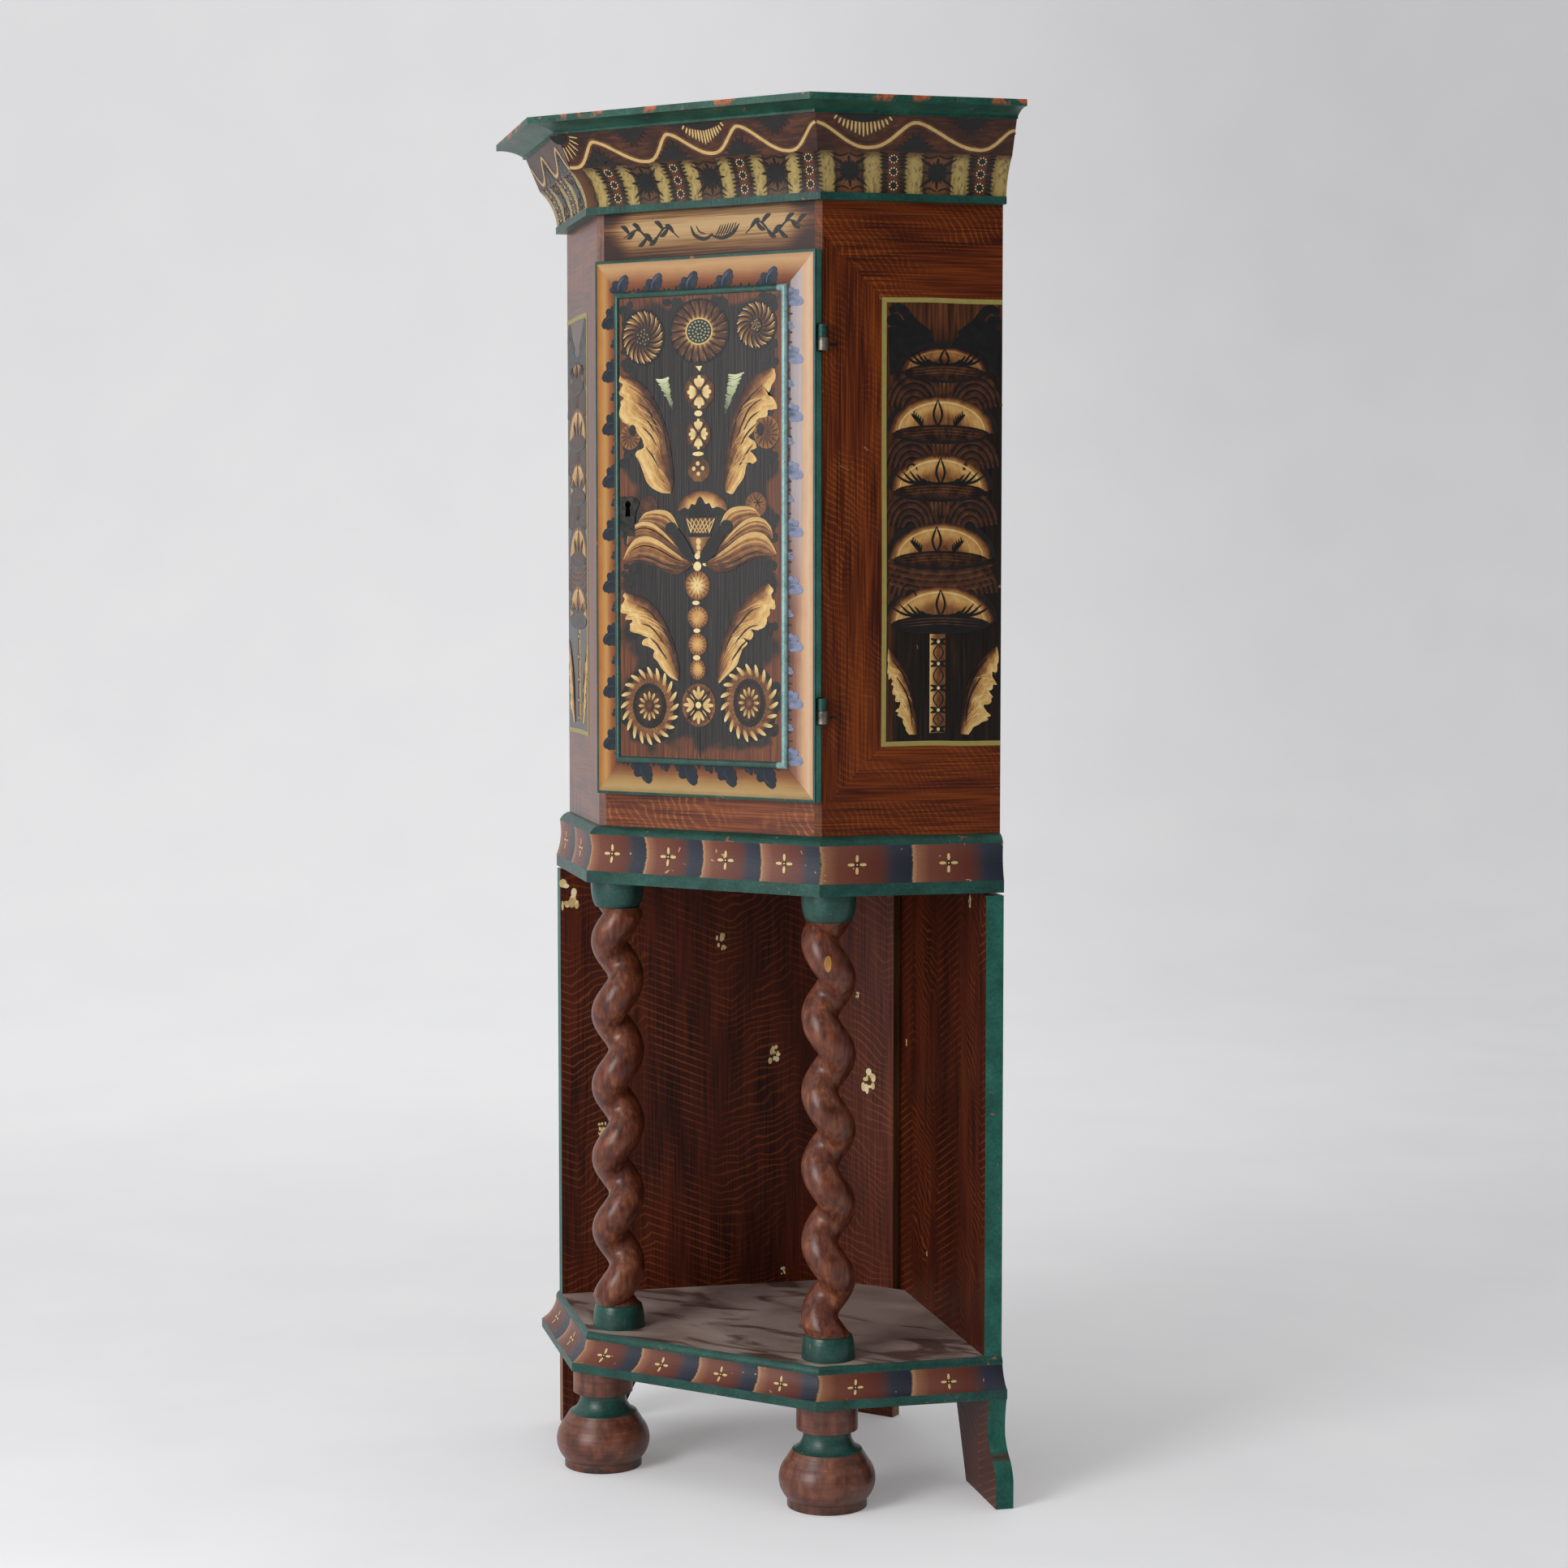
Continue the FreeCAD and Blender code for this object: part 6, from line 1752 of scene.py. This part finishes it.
def paint_plumes(panel):
    """Dark curled leaves in the panel's upper corners."""
    curl = [(150, 1598), (126, 1614), (108, 1633), (93, 1628)]
    mass = ([(91, 1606), (92, 1575), (94, 1542)], [(122, 1613), (152, 1594), (160, 1580)])
    lobes = (((100, 1616), (11, 9)), ((118, 1610), (12, 8)), ((140, 1601), (10, 7)))
    for spine in (curl, mirrored(curl, PLUME_MIDDLE)):
        panel.black.stroke(spine, 13, 0.16, 0.25, BLUNT, 14, 5)
    for edges in (mass, [mirrored(edge, PLUME_MIDDLE) for edge in mass]):
        panel.black.leaf(*edges, 0.14, 0.3, 12, 7)
    for middle, radii in lobes:
        for spot in (middle, *mirrored([middle], PLUME_MIDDLE)):
            panel.black.dot(spot, radii, 0.18, 0.3)


LINE_WIDTH = 6.5


def paint_panel_lines(panel):
    """Olive lines along the panel's top, foot and front edge."""
    line, top, bottom = PANEL_LINE / MM, PANEL_TOP / MM, PANEL_BOTTOM / MM
    for height in (top, bottom):
        level = [(line - LINE_WIDTH / 2, height), (150, height + 1), (200, height), (PANEL_END, height)]
        panel.olive.stroke(level, LINE_WIDTH, 0.3, 0.5, SQUARE, 14)
    upright = [(line, bottom), (line + 0.8, 1250), (line, 1450), (line, top)]
    panel.olive.stroke(upright, LINE_WIDTH, 0.35, 0.5, SQUARE, 20)


def paint_panel(side):
    """Domes over a pole between two leaves, with lashes and commas in turn on the domes."""
    face = Flat(CORNER[side], ACROSS[side], side)
    panel = Palette(f"panel_{SIDE_WORDS[side]}", "cabinet", "panel_brown", ("black", "gold", "olive"), face)
    paint_plumes(panel)
    for dome in DOMES[:-1]:
        paint_shells(panel, dome)
    paint_lid_waves(panel, FOLDED_DOME)
    for dome, paint_marks in zip(DOMES, itertools.cycle((paint_lashes, paint_commas))):
        paint_dome(panel, dome)
        paint_marks(panel, dome)
    paint_pole(panel)
    paint_leaf_pair(panel, LEFT_PANEL_LEAF, RIGHT_PANEL_LEAF, PANEL_VEINS, PANEL_MIDDLE,
                    (0.58, 0.82), 5.0, random.Random(21))
    paint_panel_lines(panel)
    panel.build()


for which in BOTH:
    paint_panel(which)

# Ornament of the cornice, in millimetres along each side and up its slope
cornice = Palette("cornice", "cabinet", "frieze_brown", ("black", "gold", "cream"))
# Turning points of the waving line
FRIEZE_TURNS = {
    LEFT: ((-272, 36), (-225, 5), (-160, 38), (-110, 4), (-45, 36), (-1, 2)),
    FRONT: ((-203, 3), (-195, 2), (-150, 36), (-72, 3), (-28, 38), (37, 7), (83, 41), (160, 2), (203, 38)),
    RIGHT: ((1, 38), (66, 5.5), (136, 41), (224, 6.5), (272, 35)),
}
# Place and half width of each sunburst, and places of the tufts
SUNBURSTS = {LEFT: (), FRONT: ((30, 30),), RIGHT: ((64, 37),)}
HANGING_TUFTS = {LEFT: (), FRONT: (-85, 140), RIGHT: (211,)}
STANDING_TUFTS = {LEFT: (-160, -45), FRONT: (-150, -28, 83), RIGHT: (136,)}
# Height of a tuft's root, the way it points, its half width and its height
HANGING = (48.5, -1, 34, 28)
STANDING = (1.5, 1, 36, 31)
WAVE_STEPS = 7


def wave_points(turns):
    """Points of a line that leaves each trough slowly and then climbs steeply."""
    points = [turns[0]]
    for (from_u, from_v), (to_u, to_v) in zip(turns, turns[1:]):
        for step in range(1, WAVE_STEPS + 1):
            share = step / WAVE_STEPS
            climb = share ** 1.4 if to_v > from_v else share ** 0.85
            climb = climb * climb * (3 - 2 * climb)
            points.append((blend(from_u, to_u, share), blend(from_v, to_v, climb)))
    return points


BURST_TOP = 49
BURST_RAYS = 15


def paint_sunburst(place, half):
    """A dark lens under the crown, with a brown glow and pale rays below it."""
    cornice.gold.oval((place, BURST_TOP), (half * 1.12, 32), 0.14, rim_shade(0.34, 0.1), -OVAL_END, 0)
    for index in range(BURST_RAYS):
        share = 2 * index / (BURST_RAYS - 1) - 1
        root = (place + share * half * 0.95, BURST_TOP - 9 * math.sqrt(1.02 - share * share))
        length = 5 + 15 * (1 - abs(share))
        tip = (root[0] + share * 4, root[1] - length)
        cornice.cream.stroke([root, tip], 2.6, 0.4, 0.55, (0.7, 0.4), 5)
    places = (place - half, place, place + half)
    upper = [(u, BURST_TOP + 0.5) for u in places]
    lower = [(u, BURST_TOP - drop) for u, drop in zip(places, (0.5, 10, 0.5))]
    cornice.black.leaf(upper, lower, 0.5, 0.2, 14, 4)


CORNER_BURST = (-203, BURST_TOP)


def paint_corner_burst():
    """Half a sunburst at the front's left end."""
    for index in range(6):
        angle = index * 15 - OVAL_END
        spine = [polar(CORNER_BURST, (18, 18), angle), polar(CORNER_BURST, (31, 37), angle)]
        cornice.cream.stroke(spine, 1.7, 0.4, 0.55, (0.7, 0.4), 5)
    cornice.black.oval(CORNER_BURST, (13, 13), 0.45, 0.2, -OVAL_END, 0)


def paint_tuft(place, root, way, half, height):
    """A dark pointed tuft of hairs on an edge of the band."""
    low, high = (2, OVAL_END) if way > 0 else (-OVAL_END, -2)
    cornice.black.oval((place, root), (half * 0.4, height * 0.4), 0.2, 0.35, low, high)
    hairs = 19
    for index in range(hairs):
        angle = way * blend(4, 176, index / (hairs - 1))
        turn = math.radians(angle)
        reach = (1.0 - 0.24 * (index % 2)) / (abs(math.cos(turn)) + abs(math.sin(turn)))
        line = ray((place, root), (half, height), angle, (0.2, reach))
        cornice.black.stroke(line, 3.4, 0.24, 0.3, POINTED, 5)


def paint_frieze(side):
    """A waving line, with sunbursts and dark tufts over its troughs and tufts under its crests."""
    cornice.turn_to(Band(side, (COVE_HEAD, COVE_TOP), (FRIEZE_HEAD, FRIEZE_TOP), 0.0))
    points = wave_points(FRIEZE_TURNS[side])
    cornice.gold.stroke(points, 13.0, 0.12, middle_shade(0.04, 0.26), (0.9, 0.9), len(points) * 2, 7)
    cornice.cream.stroke(points, 4.4, 0.35, 0.48, (0.9, 0.9), len(points) * 2)
    for place, half in SUNBURSTS[side]:
        paint_sunburst(place, half)
    if side == FRONT:
        paint_corner_burst()
    for place in HANGING_TUFTS[side]:
        paint_tuft(place, *HANGING)
    for place in STANDING_TUFTS[side]:
        paint_tuft(place, *STANDING)


# Reach of the stars on each side, and the height of their middles up the slope
STAR_REACH = {LEFT: 18, FRONT: 24, RIGHT: 22}
COVE_LEVEL = 28.5
ROSETTE_DOTS = 9


def paint_rosette(middle):
    """A dark spot inside a ring of pale dots."""
    cornice.black.dot(middle, (4.6, 4.6), 0.3, 0.5)
    for index in range(ROSETTE_DOTS):
        spot = polar(middle, (5.4, 5.4), FULL_TURN * index / ROSETTE_DOTS)
        cornice.cream.dot(spot, (0.85, 1.05), 0.45, 0.8)


STAR_RAYS = 16
# Long rays towards the corners, and how far they reach
CORNER_ANGLES = (40, 140, 220, 320)
CORNER_REACH = 32
# Points of one bowed line, out from the star's middle
STAR_BOW = ((24, 26), (12, 21), (1, 25))


def paint_star(middle, reach):
    """A spiky dark star with long thin rays to the corners, between bowed lines."""
    cornice.black.dot(middle, (7.0, 7.0), 0.33, 0.12)
    for index in range(STAR_RAYS):
        length = reach * (1.0 if index % 2 == 0 else 0.7)
        spike = [middle, polar(middle, (length, length), FULL_TURN * index / STAR_RAYS)]
        cornice.black.stroke(spike, 4.4, 0.35, 0.12, POINTED, 6)
    for angle in CORNER_ANGLES:
        spike = [middle, polar(middle, (CORNER_REACH, CORNER_REACH), angle)]
        cornice.black.stroke(spike, 3.0, 0.38, 0.12, POINTED, 6)
    for above, beside in itertools.product((-1, 1), BOTH):
        bow = [(middle[0] + beside * run, middle[1] + above * rise) for run, rise in STAR_BOW]
        cornice.black.stroke(bow, 1.8, 0.4, 0.1, (0.2, 0.5), 9)


ROSETTE_HEIGHTS = (10, COVE_LEVEL, 47)
HAIR_HEIGHTS = (4, 9, 14, 19, 24, 33, 38, 43, 48, 53)


def paint_cove(side):
    """Dotted rosettes on the dark columns, and stars on the brown squares."""
    band = Band(side, (COVE_FOOT, COVE_BOTTOM), (COVE_HEAD, COVE_TOP), COVE_HOLLOW)
    cornice.turn_to(band)
    period = COVE_PERIOD[side] / MM
    for index in range(-5, 6):
        column = COVE_START[side] / MM + index * period
        if band.holds(column, 6):
            for height in ROSETTE_HEIGHTS:
                paint_rosette((column, height))
            for height, way in itertools.product(HAIR_HEIGHTS, BOTH):
                spread = (height - COVE_LEVEL) * 0.14
                hair = [(column + way * 8, height), (column + way * 19, height + spread)]
                cornice.black.stroke(hair, 2.8, 0.38, 0.3, POINTED, 5)
        square = column + period / 2
        if band.holds(square, 24):
            paint_star((square, COVE_LEVEL), STAR_REACH[side])


for which in SIDES:
    paint_frieze(which)
    paint_cove(which)
cornice.build()

# Crescents and sprigs on the golden rail above the door
rail = Palette("rail", "cabinet", "panel_brown", ("black",), Flat(CORNER[FRONT], ACROSS[FRONT]))
SPRIG_MIDDLE, SPRIG_LEVEL = 8, 1742
SPRIG_STEM = ((54, -6), (76, 9), (98, -9), (122, 8), (146, -2))


def paint_rail():
    """Two crescents in the middle and a plain leafy sprig on each side."""
    rail.black.stroke([(-27, 1751), (-20, 1738), (-4, 1732), (9, 1738)], 5.0, 0.3, 0.2, (0.1, 0.4), 14)
    rail.black.stroke([(-18, 1751), (-12, 1742), (-2, 1739)], 2.0, 0.3, 0.2, (0.1, 0.3), 10)
    rail.black.stroke([(8, 1736), (24, 1732), (42, 1738), (52, 1750)], 5.0, 0.32, 0.2, (0.4, 0.1), 14)
    for index in range(7):
        root = (14 + index * 4.2, 1735 + index * 0.4)
        hair = [root, (root[0] + 5, root[1] + 8), (root[0] + 8, root[1] + 15)]
        rail.black.stroke(hair, 1.6, 0.3, 0.2, (0.6, 0.1), 7)
    for side in BOTH:
        stem = [(SPRIG_MIDDLE + side * reach, SPRIG_LEVEL + rise) for reach, rise in SPRIG_STEM]
        rail.black.stroke(stem, 3.0, 0.3, 0.25, (0.3, 0.3), 26)
        for index, (u, v) in enumerate(curve(stem, 11)[1:-1]):
            rise = 1 if index % 2 == 0 else -1
            blade = [(u, v), (u + side * 7, v + rise * 8), (u + side * 14, v + rise * 11)]
            rail.black.stroke(blade, 6.0, 0.32, 0.25, (0.4, 0.1), 8)
    rail.build()


paint_rail()

# Four-petal flowers on the blocks of the two block mouldings
blocks = Palette("block_flowers", "cabinet", "moulding_green", ("cream", "black"))
# Reach of each moulding at the foot and head of its blocks, their hollow, and the reach of a flower
BLOCK_SHAPES = {"base": (20 * MM, 15 * MM, 3.5 * MM, 13), "shelf": (46 * MM, 24 * MM, 4.5 * MM, 11)}


def paint_block_flowers(side, name):
    """A flower on each block of one moulding."""
    bottom, fillet, top, bead = BLOCK_HEIGHTS[name]
    foot, head, hollow, reach = BLOCK_SHAPES[name]
    band = Band(side, (foot, bottom + fillet), (head, top - bead), hollow)
    blocks.turn_to(band)
    count = BLOCKS[side]
    for index in range(count):
        middle = (blend(band.low, band.high, (index + BLOCK_FLOWER) / count), band.height / MM / 2)
        for angle in QUARTERS:
            petal = ray(middle, (reach, reach), angle, (0.28, 1.0))
            blocks.cream.stroke(petal, reach * 0.32, 0.35, 0.6, (0.3, 0.5), 6, 4)
        blocks.black.dot(middle, (reach * 0.22, reach * 0.22), 0.35, 0.2)
        blocks.cream.dot(middle, (reach * 0.09, reach * 0.09), 0.5, 0.7)


for which, moulding in itertools.product(SIDES, BLOCK_SHAPES):
    paint_block_flowers(which, moulding)
blocks.build()

# Places in the niche where the paint has chipped off
chips = Palette("niche_chips", "cabinet", "niche_brown", ("cream",))
WALL_BOARD = 25 * MM
POST_FRONT_Y = 0.2449
# Distance from the room corner, height and size of each chip, and the same from the middle for the plank
WALL_CHIPS = {
    LEFT: ((516, 798, 27), (286, 722, 16), (205, 551, 19), (468, 446, 14), (190, 216, 8)),
    RIGHT: ((130, 576, 7), (453, 822, 12), (243, 280, 5)),
}
CHIP_SPOTS = 12
POST_CHIPS = ((5, 513, 25), (-14, 640, 6))


def paint_chip(middle, size, chance):
    """A ragged chip of overlapping spots."""
    for _ in range(CHIP_SPOTS):
        spot = (middle[0] + chance.uniform(-0.4, 0.4) * size,
                middle[1] + chance.uniform(-0.7, 0.7) * size)
        radii = (size * chance.uniform(0.06, 0.22), size * chance.uniform(0.08, 0.28))
        chips.cream.dot(spot, radii, 0.12, chance.uniform(0.5, 1.1))


def paint_chips():
    """All chips on the two wall boards and on the plank between them."""
    chance = random.Random(31)
    for side, spots in WALL_CHIPS.items():
        behind = Vector((side * COS45, COS45, 0.0))
        across = Vector((COS45, -side * COS45, 0.0))
        chips.turn_to(Flat(Vector((0.0, CORNER_Y, 0.0)) - behind * WALL_BOARD, across, side))
        for reach, height, size in spots:
            paint_chip((reach, height), size, chance)
    chips.turn_to(Flat(Vector((0.0, POST_FRONT_Y, 0.0)), ACROSS[FRONT]))
    for place, height, size in POST_CHIPS:
        paint_chip((place, height), size, chance)
    chips.build()


paint_chips()
